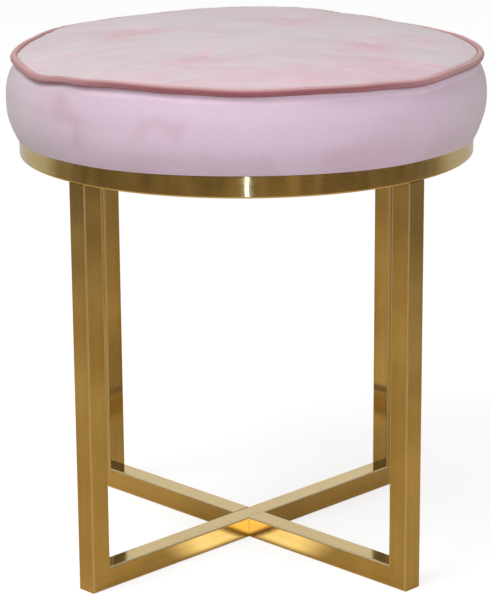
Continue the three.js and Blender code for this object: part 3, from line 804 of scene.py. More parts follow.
def top_points(share, azimuth):
    """The crowned top at a share of the seam's radius: seam height + rise * sqrt(1 - a power
    of the share), then the seam's wave near the edge, less the tufts, with a soft
    unevenness."""
    points = around_axis(share * SEAM_RADIUS, azimuth, 0.0)
    height = SEAM_HEIGHT + CROWN_RISE * np.sqrt(1 - share ** CROWN_POWER)
    height = height + seam_wave(azimuth) * smooth_step(share, 0.5, 1)
    points[..., 2] = height - tuft_sink(points[..., 0], points[..., 1])
    points[..., 0] += SEAT_SHIFT
    calm = 1 - smooth_step(share, 0.9, 1)
    points[..., 2] += calm * CROWN_SWELL * ripple(points, CROWN_SWELL_LENGTH, seed=4)
    return points


# %% [markdown]
# ## The cover's top panel
#
# The top panel is a disc of velvet, crowned by the foam under it. Four tufts, sewn down
# through the seat, pull it into dimples set in a square. The velvet puckers round each one and
# creases faintly between them. A cloth simulation could find this shape, but the dimples have
# to lie just where the photograph shows them, so the panel starts from the formulas above.
# Then a short simulation lets it swell between them: the cloth starts a little too low, is
# held at the seam and at the tufts, and is blown up from below. A coarse grid is enough,
# because only its movement is kept, and the fine grids of all the layers take that over.

# %% A cloth simulation of the top
CLOTH_AROUND = 144
CLOTH_ROWS = 40
CLOTH_FRAMES = 16
CLOTH_PRESSURE = 0.8
CLOTH_GROWTH = 0.002  # how much too large the cloth is, as a share of its size
CLOTH_START = 0.0012  # how much too low it starts between the tufts
CLOTH_CAP = 0.0026  # how far a point may move
PIN_REACH = 0.011  # how far from a tuft's middle the cloth is sewn down
FREE_REACH = 0.04  # how far from it the cloth starts fully lowered


def simulated_moves():
    """How far each point of a coarse grid over the top lies from the formula's place when the
    cloth has settled: its low start plus its movement, which is shortened to the cap."""
    azimuth = circle(CLOTH_AROUND) + np.zeros((CLOTH_ROWS, 1))
    share = np.linspace(0, 1, CLOTH_ROWS + 1)[1:, None] + 0 * azimuth
    place = top_points(share, azimuth)
    nearest = tuft_distances(place[..., 0] - SEAT_SHIFT, place[..., 1])[0].min(-1)
    held = nearest < PIN_REACH
    held[-1] = True
    start = place.copy()
    start[..., 2] -= CLOTH_START * (1 - share ** 4) * smooth_step(nearest, PIN_REACH, FREE_REACH)
    mesh = grid_mesh("cloth", start[::-1], ends=(None, start[0].mean(0)))
    cloth = add_object("cloth", mesh)
    pins = cloth.vertex_groups.new(name="pins")
    pins.add(np.flatnonzero(held[::-1]).tolist(), 1.0, "REPLACE")
    simulation = cloth.modifiers.new("cloth", "CLOTH")
    simulation.point_cache.frame_end = CLOTH_FRAMES
    settings = simulation.settings
    settings.vertex_group_mass = "pins"
    settings.effector_weights.gravity = 0
    settings.use_pressure = True
    settings.uniform_pressure_force = CLOTH_PRESSURE
    settings.shrink_min = -CLOTH_GROWTH
    for frame_number in range(1, CLOTH_FRAMES + 1):
        bpy.context.scene.frame_set(frame_number)
    settled = cloth.evaluated_get(bpy.context.evaluated_depsgraph_get()).to_mesh()
    points = read_points(settled)
    bpy.context.scene.frame_set(1)
    bpy.data.objects.remove(cloth)
    moves = points[:share.size].reshape(start.shape)[::-1] - start
    length = np.linalg.norm(moves, axis=2, keepdims=True)
    print("cloth moved up to", round(float(length.max()) * 1000, 2), "mm, mean",
          round(float(length.mean()) * 1000, 2), "mm")
    return start - place + moves * np.minimum(1, CLOTH_CAP / np.maximum(length, 1e-9))


CLOTH_MOVES = simulated_moves()


def settled_top(share, azimuth):
    """The top at a share of the radius and an azimuth: the formula's place plus the cloth's
    move there, which is read straight between the coarse grid's rows and columns."""
    along = np.clip(share * CLOTH_ROWS - 1, 0, CLOTH_ROWS - 1.001)
    around = azimuth / (2 * pi) * CLOTH_AROUND % CLOTH_AROUND
    row, column = along.astype(int), around.astype(int) % CLOTH_AROUND
    u, v = (along - row)[..., None], (around - np.floor(around))[..., None]
    after = (column + 1) % CLOTH_AROUND
    near = CLOTH_MOVES[row, column] * (1 - v) + CLOTH_MOVES[row, after] * v
    far = CLOTH_MOVES[row + 1, column] * (1 - v) + CLOTH_MOVES[row + 1, after] * v
    middle = CLOTH_MOVES[0].mean(0)
    move = middle + (near * (1 - u) + far * u - middle) * smooth_step(share, 0, 0.06)[..., None]
    return top_points(share, azimuth) + move


# %% Top panel
PANEL_AROUND = 360
PANEL_ROWS = 75
PANEL_CROWDING = 1.35  # the rows lie closer together towards the edge
PANEL_LAP = 0.0042  # how far the panel laps over the piping's fold round the front
LAP_DROP = 0.0006
LAP_START = 0.965  # as a share of the seam's radius
PANEL_GATHERS, PANEL_GATHER_LENGTH = 0.00022, 0.016
edge_run = np.linspace(0, 1, PANEL_ROWS + 1)[1:]
PANEL_SHARES = PANEL_REACH / SEAM_RADIUS * (1 - (1 - edge_run) ** PANEL_CROWDING)
# The tucked edge, from the panel's rim: (outwards, up)
PANEL_TUCK = ((0.0003, -0.0005), (0.0004, -0.0013), (0.0002, -0.0022), (-0.0004, -0.003))


def grid_normals(rows):
    """The unit normal at each grid point: the cross product of the differences both ways."""
    across = np.roll(rows, -1, 1) - np.roll(rows, 1, 1)
    normal = np.cross(across, np.gradient(rows, axis=0))
    return normal / np.linalg.norm(normal, axis=2, keepdims=True)


def front_lap(azimuth):
    """How far the panel swells over the piping's fold: 1 round the front, where only the cord
    shows, and 0 round the back, where the fold shows inside it."""
    return smooth_step(-np.sin(azimuth), -0.15, 0.10)


def panel_rows():
    """The outer face from near the middle to the edge, a tucked edge that goes down beside
    the piping, then the inner face back to the middle, one velvet's thickness below. Round the
    front the edge is carried outwards by PANEL_LAP, up to the cord."""
    share, around = np.meshgrid(PANEL_SHARES, circle(PANEL_AROUND), indexing="ij")
    outer = settled_top(share, around)
    lap = front_lap(around) * smooth_step(share, LAP_START, PANEL_SHARES[-1])
    outer[..., :2] *= (1 + lap * PANEL_LAP / SEAM_RADIUS)[..., None]
    outer[..., 2] -= lap * LAP_DROP
    gathers = ripple(outer, PANEL_GATHER_LENGTH, seed=8) * smooth_step(share, 0.86, 0.96)
    outer[..., 2] += PANEL_GATHERS * gathers
    edge = outer[-1:]
    out = edge[..., :2] / np.linalg.norm(edge[..., :2], axis=2, keepdims=True)
    tucked = [np.concatenate([edge[..., :2] + out * step, edge[..., 2:] + drop], -1)
              for step, drop in PANEL_TUCK]
    inner = outer[::-1].copy()
    inner[..., 2] -= VELVET
    inner[..., :2] *= 1 - VELVET / SEAM_RADIUS
    return np.concatenate([outer, *tucked, inner])


def pile_marks_and_painted_light(mesh, marks):
    """Stores the attribute that says how far the pile is turned; below zero it shows paler, which
    just under the piping is painted light: a sum of soft, stretched spots, each
    exp(-(dx/width)^2 - (dy/length)^2) in metres, times its strength."""
    layer = mesh.attributes.new("pile_marks_and_painted_light", "FLOAT", "POINT")
    layer.data.foreach_set("value", marks(read_points(mesh).astype(float)).astype(np.float32))


# Brush marks on the top: (x, y, half width, half length, how far the pile is turned)
TOP_MARKS = (
    (-0.106, 0.000, 0.028, 0.040, 0.66), (-0.120, -0.014, 0.009, 0.015, 0.22),
    (-0.078, 0.016, 0.022, 0.022, 0.35), (-0.036, -0.134, 0.032, 0.028, 0.50),
    (-0.058, -0.135, 0.012, 0.014, 0.20), (0.038, 0.050, 0.031, 0.045, 0.64),
    (0.105, -0.074, 0.032, 0.036, 0.66), (0.084, -0.096, 0.009, 0.014, 0.20),
    (0.152, -0.024, 0.026, 0.036, 0.30), (0.120, -0.140, 0.070, 0.036, 0.42),
    (0.044, -0.176, 0.060, 0.024, 0.35), (-0.060, -0.176, 0.080, 0.018, 0.25),
    (-0.150, 0.075, 0.030, 0.030, 0.25), (0.000, 0.150, 0.100, 0.040, 0.30),
    (-0.130, -0.070, 0.030, 0.026, 0.25), (-0.070, -0.052, 0.020, 0.024, -0.20),
    (0.020, -0.010, 0.040, 0.030, -0.15), (-0.020, -0.070, 0.030, 0.016, -0.15),
)


def top_marks(points):
    """Spots on the plan of the seat."""
    total = np.zeros(len(points))
    for x, y, width, length, strength in TOP_MARKS:
        spot = ((points[:, 0] - x) / width) ** 2 + ((points[:, 1] - y) / length) ** 2
        total += strength * np.exp(-spot)
    return total


panel_mesh = grid_mesh("cover_top_panel", panel_rows()[:, ::-1], creases=60)
pile_marks_and_painted_light(panel_mesh, top_marks)
top_panel = add_piece("top_panel_velvet", panel_mesh, velvet_top, "pink_velvet",
                      "cover_top_panel")
print("top panel faces", len(panel_mesh.polygons))

# %% [markdown]
# ## The cover's side band
#
# The band is one strip of velvet. It starts in the seam under the piping, swells over the foam,
# draws in again, hangs a few millimetres over the ring's top edge and is pulled in under the
# board. So its section is a long loop: the outer face down, the hem inwards, and back.

# %% Side band
BAND_AROUND = 480
BAND_ROWS = 52
BAND_CROWDING = 0.92
LIP_MIDDLE, LIP_SIZE = RING_RADIUS + 0.0007, 0.0004  # the lip's small round edge
WALL_REACH = RING_RADIUS + 0.0003  # just outside the ring's wall
HEM_REACH = RING_RADIUS - 0.033
HEM_HEIGHT = RING_TOP + 0.0003
HEM_TOP = HEM_HEIGHT + VELVET
SEAM_GATHERS, SEAM_GATHER_LENGTH = 0.00022, 0.017
FOOT_GATHERS, FOOT_GATHER_LENGTH = 0.00030, 0.024


def band_rows():
    """The section at each azimuth: a tuck behind the piping, the bulging side down to the
    lip, the lip's small round edge, up the ring's wall, in along the hem, and the inner face
    back up to the tuck. The inner face is the side moved in by the velvet's thickness."""
    azimuth = circle(BAND_AROUND)
    foot = RING_TOP - round_table(LIP_DROPS, azimuth)
    level = np.linspace(0, 1, BAND_ROWS)[:, None] ** BAND_CROWDING
    outer = side_points(SHOULDER_HEIGHT + (foot - SHOULDER_HEIGHT) * level, azimuth, foot)
    height = outer[..., 2] - RING_TOP
    near_seam = smooth_step(height, 0.045, 0.062)
    near_foot = smooth_step(-height, -0.026, -0.008) * smooth_step(height, 0.001, 0.008)
    upright = ripple(outer * [1, 1, 0.3], SEAM_GATHER_LENGTH, seed=22)
    gathers = near_seam * SEAM_GATHERS * upright
    upright = ripple(outer * [1, 1, 0.25], FOOT_GATHER_LENGTH, seed=23)
    gathers += near_foot * FOOT_GATHERS * upright
    outer = outer + around_axis(gathers, azimuth, 0)

    def hoops(*places):
        """Rows at radii and heights."""
        return [around_axis(reach, azimuth, height)[None] for reach, height in places]

    shoulder = outer[0, :, 2]
    tuck = hoops((SEAM_RADIUS + 0.0002, shoulder + 0.0010),
                 (SEAM_RADIUS + 0.0011, shoulder + 0.0016),
                 (SEAM_RADIUS + 0.0022, shoulder + 0.0014))
    back = hoops((SEAM_RADIUS, shoulder + 0.0001))
    for row in tuck + back:
        row[..., 0] += SEAT_SHIFT
    lip = hoops(*((LIP_MIDDLE + LIP_SIZE * cos(turn), foot - LIP_SIZE * sin(turn))
                  for turn in np.linspace(0, pi, 6)[1:]))
    hem = hoops((WALL_REACH, HEM_HEIGHT - 0.0004), (WALL_REACH - 0.0012, HEM_HEIGHT),
                (HEM_REACH + 0.0006, HEM_HEIGHT), (HEM_REACH, HEM_HEIGHT + VELVET / 2),
                (HEM_REACH + 0.0006, HEM_TOP), (WALL_REACH - 0.001, HEM_TOP))
    inner = (outer - VELVET * grid_normals(outer[::-1])[::-1])[::-1]
    inner = inner[inner[:, :, 2].min(1) > HEM_TOP + 0.001][:-2]
    return np.concatenate([*tuck, outer, *lip, *hem, inner, *back])


# Brush marks on the side: (azimuth and height in degrees and metres, their half widths,
# how far the pile is turned)
SIDE_MARKS = (
    (-137, 0.441, 4.5, 0.011, 0.62), (-132, 0.418, 4.5, 0.011, 0.55),
    (-134, 0.429, 3.5, 0.009, 0.40), (-124, 0.430, 6, 0.007, 0.25),
    (-110, 0.431, 5.5, 0.015, 0.58), (-93, 0.434, 4, 0.016, 0.25),
    (-72, 0.408, 10, 0.009, 0.16), (-58, 0.430, 9, 0.015, 0.15), (-38, 0.428, 11, 0.020, -0.22),
    (-122, 0.440, 7, 0.012, -0.20), (-152, 0.415, 8, 0.022, -0.20),
    (-103, 0.447, 10, 0.007, -0.20), (-80, 0.448, 10, 0.006, -0.20),
    (-138, 0.404, 14, 0.013, -0.34),
    (150, 0.425, 9, 0.014, 0.40), (110, 0.414, 11, 0.012, 0.35), (70, 0.436, 9, 0.013, 0.40),
    (30, 0.420, 8, 0.014, 0.40), (0, 0.440, 7, 0.012, 0.30),
)


MARK_SWAY, MARK_SWAY_LENGTH = 2.0, 0.035  # how far a ripple bends the spots, in degrees
MARK_RISE, MARK_RISE_LENGTH = 0.004, 0.028  # and in height
DEEPER_LOW_DOWN = 0.26  # how much deeper and darker the tone is low down
PAINTED_LIGHT_UNDER_PIPING = 0.6  # and how much light is painted in just under the piping, over its shadow


def side_marks(points):
    """Spots on the side, by azimuth and height, both bent by a ripple so that no spot is an
    even oval. Low down, where the side turns under, the tone is deeper and darker all the way
    round. Just under the piping, light is painted in: a mark below zero lifts the piping's shadow."""
    azimuth = np.arctan2(points[:, 1], points[:, 0])
    bent = np.degrees(azimuth) + MARK_SWAY * ripple(points, MARK_SWAY_LENGTH, seed=51)
    level = points[:, 2] + MARK_RISE * ripple(points, MARK_RISE_LENGTH, seed=52)
    below_seam = SHOULDER_HEIGHT + seam_wave(azimuth) - points[:, 2]
    total = DEEPER_LOW_DOWN * smooth_step(-points[:, 2], -RING_TOP - 0.036, -RING_TOP - 0.008)
    # painted light: just under the piping a mark below zero lifts the shadow the piping casts
    total -= PAINTED_LIGHT_UNDER_PIPING * smooth_step(-below_seam, -0.0085, -0.001)
    for bearing, height, width, tall, strength in SIDE_MARKS:
        aside = (bent - bearing + 180) % 360 - 180
        total += strength * np.exp(-(aside / width) ** 2 - ((level - height) / tall) ** 2)
    return total


band_mesh = grid_mesh("cover_side_band", band_rows()[:, ::-1], closed=True, creases=70)
pile_marks_and_painted_light(band_mesh, side_marks)
band = add_piece("side_band_velvet", band_mesh, velvet_side, "pink_velvet", "cover_side_band")
print("band faces", len(band_mesh.polygons))

# %% [markdown]
# ## The piping
#
# The piping is a cord in a sleeve of rose velvet, sewn into the seam. Inside the cord the
# sleeve's fold shows as a second, thinner strand. It could be a piece of its own, but both are
# one strip of velvet, so one section goes round both strands, with a groove between them.

# %% Piping
PIPING_AROUND = 22
PIPING_ALONG = 640
GROOVE = radians(17)  # half the angle that the cord leaves open to the fold
FOLD_GROOVE = 1.7 * GROOVE  # and the fold, which is thinner, to the cord
FOLD_SINK = 0.0012  # how far the fold sinks where the panel lies over it


def piping_section():
    """The section as (outwards, up) points round both strands, anticlockwise: one arc of the
    cord from groove to groove, then one arc of the fold, each middle + radius * (cos, sin)."""
    inwards = np.arctan2(FLANGE_RISE, FLANGE_REACH - CORD_REACH)
    cord = np.linspace(inwards - 2 * pi + GROOVE, inwards - GROOVE, PIPING_AROUND)
    fold = np.linspace(inwards - pi + FOLD_GROOVE, inwards + pi - FOLD_GROOVE,
                       PIPING_AROUND // 2)
    return np.concatenate([
        np.stack([CORD_REACH + CORD_RADIUS * np.cos(cord), CORD_RADIUS * np.sin(cord)], -1),
        np.stack([FLANGE_REACH + FLANGE_RADIUS * np.cos(fold),
                  FLANGE_RISE + FLANGE_RADIUS * np.sin(fold)], -1),
    ])


def piping_rows():
    """Loops round the seat, one for each point of the section, at the seam's height plus its
    wave. The strands swell and lean by small ripples, as a sleeve eased round a curve does."""
    azimuth = circle(PIPING_ALONG)
    out, up = piping_section().T[..., None]
    centre = around_axis(CORD_REACH, azimuth, SEAM_HEIGHT + seam_wave(azimuth))
    swell = 1 + 0.025 * ripple(centre, 0.05, seed=31) + 0.012 * ripple(centre, 0.012, seed=32)
    reach = CORD_REACH + (out - CORD_REACH) * swell + 0.0002 * ripple(centre, 0.09, seed=33)
    is_fold = (out < CORD_REACH - CORD_RADIUS) * 1.0
    sunk = FOLD_SINK * is_fold * front_lap(azimuth)
    return around_axis(reach, azimuth, centre[:, 2] + up * swell - sunk) + [SEAT_SHIFT, 0, 0]


piping_mesh = grid_mesh("piping_cord", piping_rows(), closed=True)
add_piece("piping_velvet", piping_mesh, velvet_rose, "rose_velvet", "piping_cord")
print("piping faces", len(piping_mesh.polygons))

# %% [markdown]
# ## Buttons
#
# Each tuft is held by a button covered in the seat's velvet and sunk to the bottom of its
# dimple, where it hardly shows. It is a dome with its cloth gathered under the rim.

# %% The solid model's round pieces
def round_solid(name):
    """The middle on the plan, the lowest and the highest Z, and the radius of a piece with an
    upright axis: half its width along Y."""
    low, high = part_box(name)
    return np.array([low.x + high.x, low.y + high.y, 0]) / 2, low.z, high.z, (high.y - low.y) / 2


# %% Tuft buttons
BUTTON_AROUND = 48
BUTTON_GATHERS, GATHER_SHARE = 14, 0.022  # how many, and how deep as a share of the radius
BUTTON_SUNK = 0.0012  # how much flatter the soft dome is than the solid one


def button_rows(low, high, radius):
    """Rows of the button's section, about the Z axis: flat underneath, a round rim near mid
    height, and a dome. The cloth's gathers are a small cosine of the bearing on and under the
    rim."""
    bearing = circle(BUTTON_AROUND)
    turn = np.linspace(-pi / 2, pi / 2, 20)[1:-1, None]
    middle = low + (high - low) * 0.45
    under = smooth_step(-turn, -0.2, 0.5) * np.cos(turn)
    gathers = 1 + GATHER_SHARE * np.cos(BUTTON_GATHERS * bearing) * under
    height = middle + np.where(turn < 0, middle - low, high - middle) * np.sin(turn)
    return around_axis(radius * np.cos(turn) ** 0.8 * gathers, bearing, height)


for number in range(1, TUFT_COUNT + 1):
    name = f"tuft_button_{number}"
    centre, low, high, radius = round_solid(name)
    top = high - BUTTON_SUNK
    tips = centre + [0, 0, low], centre + [0, 0, top]
    mesh = grid_mesh(name, button_rows(low, top, radius) + centre, ends=tips, creases=70)
    button = add_piece(f"button_{number}_covered", mesh, velvet_button, "pink_velvet", name)

# %% [markdown]
# ## Padding
#
# Under the velvet lie a layer of fibre wadding and a crowned foam pad on the plywood board.
# They don't show, but they are made, each at its own depth under the cover.

# %% Wadding and foam
PADDING_AROUND = 240
BOARD_LOW, BOARD_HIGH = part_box("seat_board")
WADDING_DEPTH = VELVET + LAYER_GAP
WADDING_BOTTOM = BOARD_LOW.z + 0.0008
FOAM_DEPTH = WADDING_DEPTH + WADDING + LAYER_GAP
SKIN_SIDE_ROWS, SKIN_TOP_ROWS = 22, 58
EDGE_SHARE = 0.972  # where the skin's top begins, as a share of the seam's radius


def cushion_skin():
    """The cushion's outside as one sheet: up the side from the ring, round the seam's edge,
    which the padding fills with a curve, and over the crown to the middle."""
    azimuth = circle(PADDING_AROUND)
    heights = np.linspace(RING_TOP + 0.001, SHOULDER_HEIGHT - 0.005, SKIN_SIDE_ROWS)[:, None]
    side = side_points(heights + 0 * azimuth, azimuth, RING_TOP - round_table(LIP_DROPS, azimuth))
    share = np.append(np.linspace(EDGE_SHARE, 0.05, SKIN_TOP_ROWS), 0.02)[:, None] + 0 * azimuth
    return np.concatenate([side, settled_top(share, azimuth + 0 * share)])


SKIN = cushion_skin()
SKIN_NORMALS = grid_normals(SKIN)


def layer_face(depth, bottom, least):
    """The skin moved in by the depth, kept above the bottom and outside the least radius."""
    face = SKIN - depth * SKIN_NORMALS
    face[..., 2] = np.maximum(face[..., 2], bottom)
    reach = np.linalg.norm(face[..., :2], axis=2)
    low = face[..., 2] < BOARD_HIGH.z + LAYER_GAP
    face[..., :2] *= np.where(low & (reach < least), least / reach, 1)[..., None]
    return face


foam_mesh = grid_mesh("foam_pad", layer_face(FOAM_DEPTH, BOARD_HIGH.z + LAYER_GAP, 0), creases=50)
foam_piece = add_piece("foam_pad_crowned", foam_mesh, foam, "foam", "foam_pad")

wadding_outer = layer_face(WADDING_DEPTH, WADDING_BOTTOM, 0)
wadding_inner = layer_face(WADDING_DEPTH + WADDING, WADDING_BOTTOM, BOARD_HIGH.x + LAYER_GAP)
wadding_mesh = grid_mesh("wadding_layer", np.concatenate([wadding_inner[::-1], wadding_outer]),
                         creases=50)
wadding_piece = add_piece("wadding_fibre", wadding_mesh, fibre, "wadding", "wadding_layer")
print("padding made")

# %% [markdown]
# ## Under the seat
#
# The board stands on four tabs inside the ring and is bolted down from below. A thin black
# cloth closes the underside. It is stapled round its edge and hangs in very shallow waves.

# %% Dust cover and staples
COVER_LOW, COVER_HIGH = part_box("dust_cover")
COVER_RADIUS = COVER_HIGH.x
COVER_AROUND, COVER_ROWS = 144, 40
COVER_SAG = 0.00008
STAPLE_COUNT = 24
STAPLE_REACH = COVER_RADIUS - 0.006
STAPLE_WIDTH = 0.010
STAPLE_WIRE = 0.0006


def cloth_rows():
    """A disc of cloth: the lower face from the middle out, then the upper face back. The lower
    face sags by a ripple that dies out at the stapled edge."""
    share = np.linspace(0, 1, COVER_ROWS + 1)[1:, None]
    lower = around_axis(COVER_RADIUS * share, circle(COVER_AROUND), COVER_LOW.z)
    upper = lower[::-1].copy()
    upper[..., 2] = COVER_HIGH.z
    lower[..., 2] += (1 - share ** 6) * COVER_SAG * ripple(lower, 0.045, seed=41)
    return np.concatenate([lower, upper])


cover = add_piece("dust_cover_cloth", grid_mesh("dust_cover", cloth_rows(), creases=50),
                  black_cloth, "black_cloth", "dust_cover")


def staple_rows():
    """One staple at +X: a square wire that comes down out of the cloth, runs across and goes
    back up into it. steep says how upright the wire stands at each stop of its path, from 1
    to 0."""
    half, drop, rise = STAPLE_WIDTH / 2, -STAPLE_WIRE, 0.0002
    aside = np.array([-half, -half, -half + STAPLE_WIRE, half - STAPLE_WIRE, half, half])[:, None]
    height = np.array([rise, drop / 2, drop, drop, drop / 2, rise])[:, None]
    steep = np.array([1, 0.7, 0, 0, 0.7, 1])[:, None]
    wire = STAPLE_WIRE / 2
    out, up = np.array([[-wire, wire, wire, -wire], [-wire, -wire, wire, wire]])
    return points_at(STAPLE_REACH + out, aside + np.sign(aside) * up * steep,
                     COVER_LOW.z + height + up * (1 - steep))[::-1]


staples = copies_round("staples", staple_rows(), STAPLE_COUNT, first=pi / STAPLE_COUNT,
                       flat=True)
add_piece("dust_cover_staples", staples, zinc, "zinc_steel")

# %% [markdown]
# ## Bolts, washers and tabs
#
# The bolts have domed heads with a hexagon socket. The dome is a section turned about the
# bolt's axis. The socket is the same kind of grid, but its loops are six-sided: the radius at
# a bearing is the flat's distance over the cosine of the angle from the flat's middle.

# %% Bolts and washers
BOLT_COUNT = 4  # one through each tab
BOLT_AROUND = 48
BOLT_HEAD, BOLT_SHANK, HEAD_HEIGHT = 0.00525, 0.003, 0.0033
SOCKET_FLAT = 0.0020
SOCKET_DEPTH = 0.0020
WASHER_HOLE = 0.0035
FINE_EDGE = 0.0001  # how far the bolt's edges are broken
BOLT_TIP = 0.0006  # and its far end
WASHER_EDGE = 0.00015


def lathed(section, centre):
    """Loops about an upright axis, one for each (radius, height) of the section."""
    bearing = circle(BOLT_AROUND)
    return np.array([around_axis(reach, bearing, height) for reach, height in section]) + centre


def bolt_section(low, high):
    """The (radius, height) section of a domed bolt, from the socket's floor, out over the
    head and up the shank. The dome is a quarter circle, flattened a little, from the socket's
    rim to the head's edge."""
    wedge = pi / 3
    hexagon = SOCKET_FLAT / np.cos((circle(BOLT_AROUND) % wedge) - wedge / 2)
    floor_height, head_top = low + SOCKET_DEPTH, low + HEAD_HEIGHT
    return [
        (hexagon * 0.98, floor_height), (hexagon, floor_height - FINE_EDGE),
        (hexagon, low + 0.0002), (hexagon * 1.06, low),
        *((BOLT_HEAD * (0.55 + 0.45 * sin(turn)), low + HEAD_HEIGHT * 0.92 * (1 - cos(turn)))
          for turn in np.linspace(0.12, pi / 2, 9)),
        (BOLT_HEAD, head_top - FINE_EDGE), (BOLT_HEAD - FINE_EDGE, head_top),
        (BOLT_SHANK + FINE_EDGE, head_top), (BOLT_SHANK, head_top + FINE_EDGE),
        (BOLT_SHANK, high - BOLT_TIP), (BOLT_SHANK - BOLT_TIP, high),
    ]


def washer_section(low, high, outer):
    """The (radius, height) section of a flat ring with its edges just broken."""
    edge, inner = WASHER_EDGE, WASHER_HOLE
    return [(inner + edge, low), (outer - edge, low), (outer, low + edge), (outer, high - edge),
            (outer - edge, high), (inner + edge, high), (inner, high - edge), (inner, low + edge)]


for number in range(1, BOLT_COUNT + 1):
    name = f"seat_bolt_{number}"
    centre, low, high, _ = round_solid(name)
    mesh = grid_mesh(name, lathed(bolt_section(low, high), centre), creases=40)
    add_piece(f"bolt_{number}_domed", mesh, zinc, "zinc_steel", name)
    name = f"seat_washer_{number}"
    section = washer_section(*round_solid(name)[1:])
    mesh = grid_mesh(name, lathed(section, centre), closed=True, creases=40)
    add_piece(f"washer_{number}_flat", mesh, zinc, "zinc_steel", name)

# %% Weld beads at the tabs
BEAD_RADIUS = 0.0016
BEAD_LENGTH = 0.027
BEAD_STEPS = 11
BEAD_SINK = 0.0005  # how far its middle lies in from the ring's inner wall


def bead_rows(tab_low):
    """A weld bead across the root of the tab at +X: a round bar that swells and narrows in
    even steps, as a weld laid by hand does."""
    share = np.linspace(0, 1, 61)[:, None]
    angle = circle(12)
    y = (share - 0.5) * BEAD_LENGTH
    thick = BEAD_RADIUS * (1 + 0.13 * np.abs(np.sin(share * pi * BEAD_STEPS)))
    thick = thick * np.sqrt(np.clip(1 - (2 * share - 1) ** 8, 0.02, 1))
    wall = np.sqrt((RING_RADIUS - TUBE_SIDE) ** 2 - y ** 2)
    return points_at(wall - BEAD_SINK + thick * np.cos(angle), y,
                     tab_low + thick * np.sin(angle))[::-1]


beads = copies_round("weld_beads", bead_rows(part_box("seat_tab_1")[0].z), BOLT_COUNT)
add_piece("tab_weld_beads", beads, brass_plate, "polished_brass")

# %% Finishes for the pieces that keep their solid shape
KEPT = {
    "seat_tab_": brass_plate, "tee_nut_": zinc, "seat_board": plywood,
    "tuft_twine_": cord_twine, "tuft_anchor_": plastic,
}
for name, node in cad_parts.items():
    for start_of_name, material in KEPT.items():
        if name.startswith(start_of_name):
            node.data.materials.clear()
            node.data.materials.append(material)

# %% [markdown]
# ## Floor and light
#
# The stool stands on a plain pale floor. Brass shows its surroundings, so they matter as much
# as its colour: what lies behind the stool is white, the floor round it is a warm mid tone that
# darkens with distance, and the room above is pale. A narrow upright light stands low in front
# and draws the thin bright line down the ring's front. The glow in the corner of the crossed
# bars comes from a patch of floor between the two front ones. It is lit only as the brass sees
# it, because a real lamp there would light the floor for the camera too.

# %% Floor
FLOOR_REACH = 9.0
FLOOR_LEVEL = -0.0001  # a hair below the bars, so that the two faces don't coincide
FLOOR_PATCHES = 3.2  # per metre
CROSSING_GLOW = 1.3
PAPER_GLOW = 0.68  # lifts the floor that the camera sees to white, but for the shadow


def floor_material():
    """Seen by the camera, the floor is white and keeps the stool's shadow. Light bounces off
    it as off grey paper. Seen in the brass, it has a faint gloss and its tone goes with the
    distance: warm and light near the stool, darker further off, paler behind the crossing and
    near white behind the stool. Between the two front bars it glows."""
    material, shader, place = new_material("floor", {
        "Roughness": 0.07, "IOR": 1.5, "Emission Color": (0.86, 0.81, 0.59, 1),
    })
    tree = material.node_tree
    rays = put(tree, "LightPath")
    x, y = axis(place, 0), axis(place, 1)
    flat = put(tree, "CombineXYZ", {0: x, 1: y, 2: 0.0})[0]
    away = put(tree, "VectorMath", {0: flat}, operation="LENGTH")["Value"]
    uneven = noise(flat, FLOOR_PATCHES)
    near = blend(spread(uneven, 0.35, 0.65), paint(201, 171, 113), paint(220, 193, 138))
    far = blend(spread(uneven, 0.4, 0.6), paint(108, 89, 52), paint(150, 129, 85))
    tone = blend(spread(away, 0.3, 2.1), near, far)
    crossing_back = spread(y, 0.01, 0.07, 0.0, 0.45) * spread(away, 0.15, 0.40, 1.0, 0.0)
    tone = blend(crossing_back, tone, paint(255, 226, 172))
    tone = blend(spread(y, 0.35, 0.9), tone, paint(215, 213, 206))
    seen = blend(rays["Is Diffuse Ray"], tone, paint(190, 187, 183))
    tree.links.new(seen.socket, shader.inputs["Base Color"])
    # how far in front of both front bars a point lies, which run at 45 degrees
    from_bars = y * -1.0 - x.maths("ABSOLUTE")
    # the glow stops short of each bar: a painted shadow of the bars, seen only in the brass
    lit = spread(from_bars, 0.016, 0.030) * spread(away, 0.055, 0.105, 1.0, 0.0)
    in_mirrors = spread(rays["Is Diffuse Ray"], 0.0, 1.0, 1.0, 0.0)
    twice_mirrored = spread(rays["Glossy Depth"], 1.0, 2.0, 1.0, 1.7)
    glow = lit * in_mirrors * twice_mirrored * CROSSING_GLOW
    tree.links.new(glow.socket, shader.inputs["Emission Strength"])
    paper = put(tree, "BsdfDiffuse", {"Color": paint(190, 190, 190)})[0]
    light = put(tree, "Emission", {"Color": (1, 1, 1, 1), "Strength": PAPER_GLOW})[0]
    white = put(tree, "AddShader", {0: paper, 1: light})[0]
    mirrored = Wire(shader.outputs[0])
    pick = put(tree, "MixShader", {0: rays["Is Camera Ray"], 1: mirrored, 2: white})[0]
    tree.links.new(pick.socket, tree.nodes["Material Output"].inputs["Surface"])
    return material


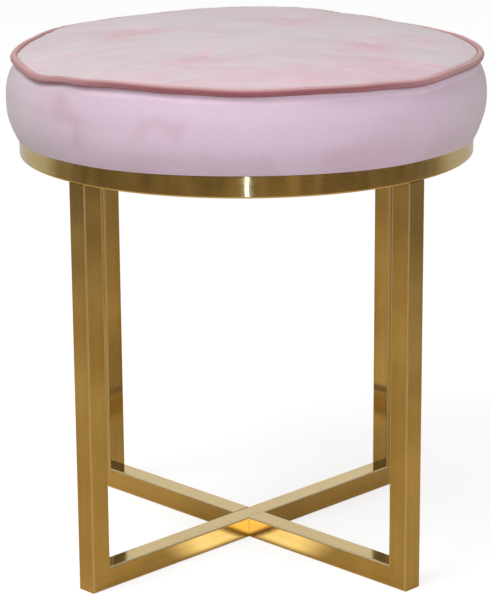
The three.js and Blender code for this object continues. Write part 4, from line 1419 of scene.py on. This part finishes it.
floor_mesh = bpy.data.meshes.new("floor")
floor_mesh.from_pydata([
    (x * FLOOR_REACH, y * FLOOR_REACH, FLOOR_LEVEL) for x, y in ((-1, -1), (1, -1), (1, 1), (-1, 1))
], [], [(0, 1, 2, 3)])
floor_mesh.materials.append(floor_material())
floor = add_object("floor", floor_mesh)

# %% World
AMBIENT = 0.52
world = bpy.data.worlds.new("studio")
bpy.context.scene.world = world
world.use_nodes = True
sky = world.node_tree
sky.nodes.clear()
rays = put(sky, "LightPath")
way = put(sky, "TexCoord")["Generated"]
behind = spread(axis(way, 1), -0.2, 0.8, 0.16, 0.84)
# the pale room starts above what the floor's gloss mirrors, at 0.27 up
above = spread(axis(way, 2), 0.30, 0.55, 0.0, 0.60)
mirrored = behind.maths("MAXIMUM", above)
even = blend(rays["Is Diffuse Ray"], mirrored, (AMBIENT, AMBIENT, AMBIENT, 1))
shown = blend(rays["Is Camera Ray"], even, (1, 1, 1, 1))
background = put(sky, "Background", {"Color": shown, "Strength": 1.0})[0]
put(sky, "OutputWorld", {"Surface": background})


# %% Lamps
def soft_lamp(name, place, target, width, height, power, colour=(1, 1, 1)):
    """A rectangular lamp that faces its target."""
    data = bpy.data.lights.new(name, "AREA")
    data.shape = "RECTANGLE"
    data.size, data.size_y = width, height
    data.energy = power
    data.color = colour
    lamp = add_object(name, data)
    lamp.location = place
    lamp.rotation_euler = (Vector(target) - Vector(place)).to_track_quat("-Z", "Y").to_euler()
    return lamp


SEAT_MIDDLE = (0, 0, 0.42)
STRIP_HEIGHT = 0.26
key = soft_lamp("key_lamp", (-1.1, -1.0, 2.3), SEAT_MIDDLE, 1.4, 1.4, 27.5)
fill = soft_lamp("front_lamp", (0.95, -2.55, 0.5), SEAT_MIDDLE, 1.6, 1.0, 23.3, (0.98, 0.96, 1.0))
fill.visible_glossy = False  # the brass mirrors the narrow strip, not the broad lamp
strip = soft_lamp("strip_lamp", (0, -1.5, STRIP_HEIGHT), (0, 0, STRIP_HEIGHT), 0.012, 0.5, 0.46,
                  (0.50, 0.68, 1.0))
print("lamps", [lamp.name for lamp in (key, fill, strip)])
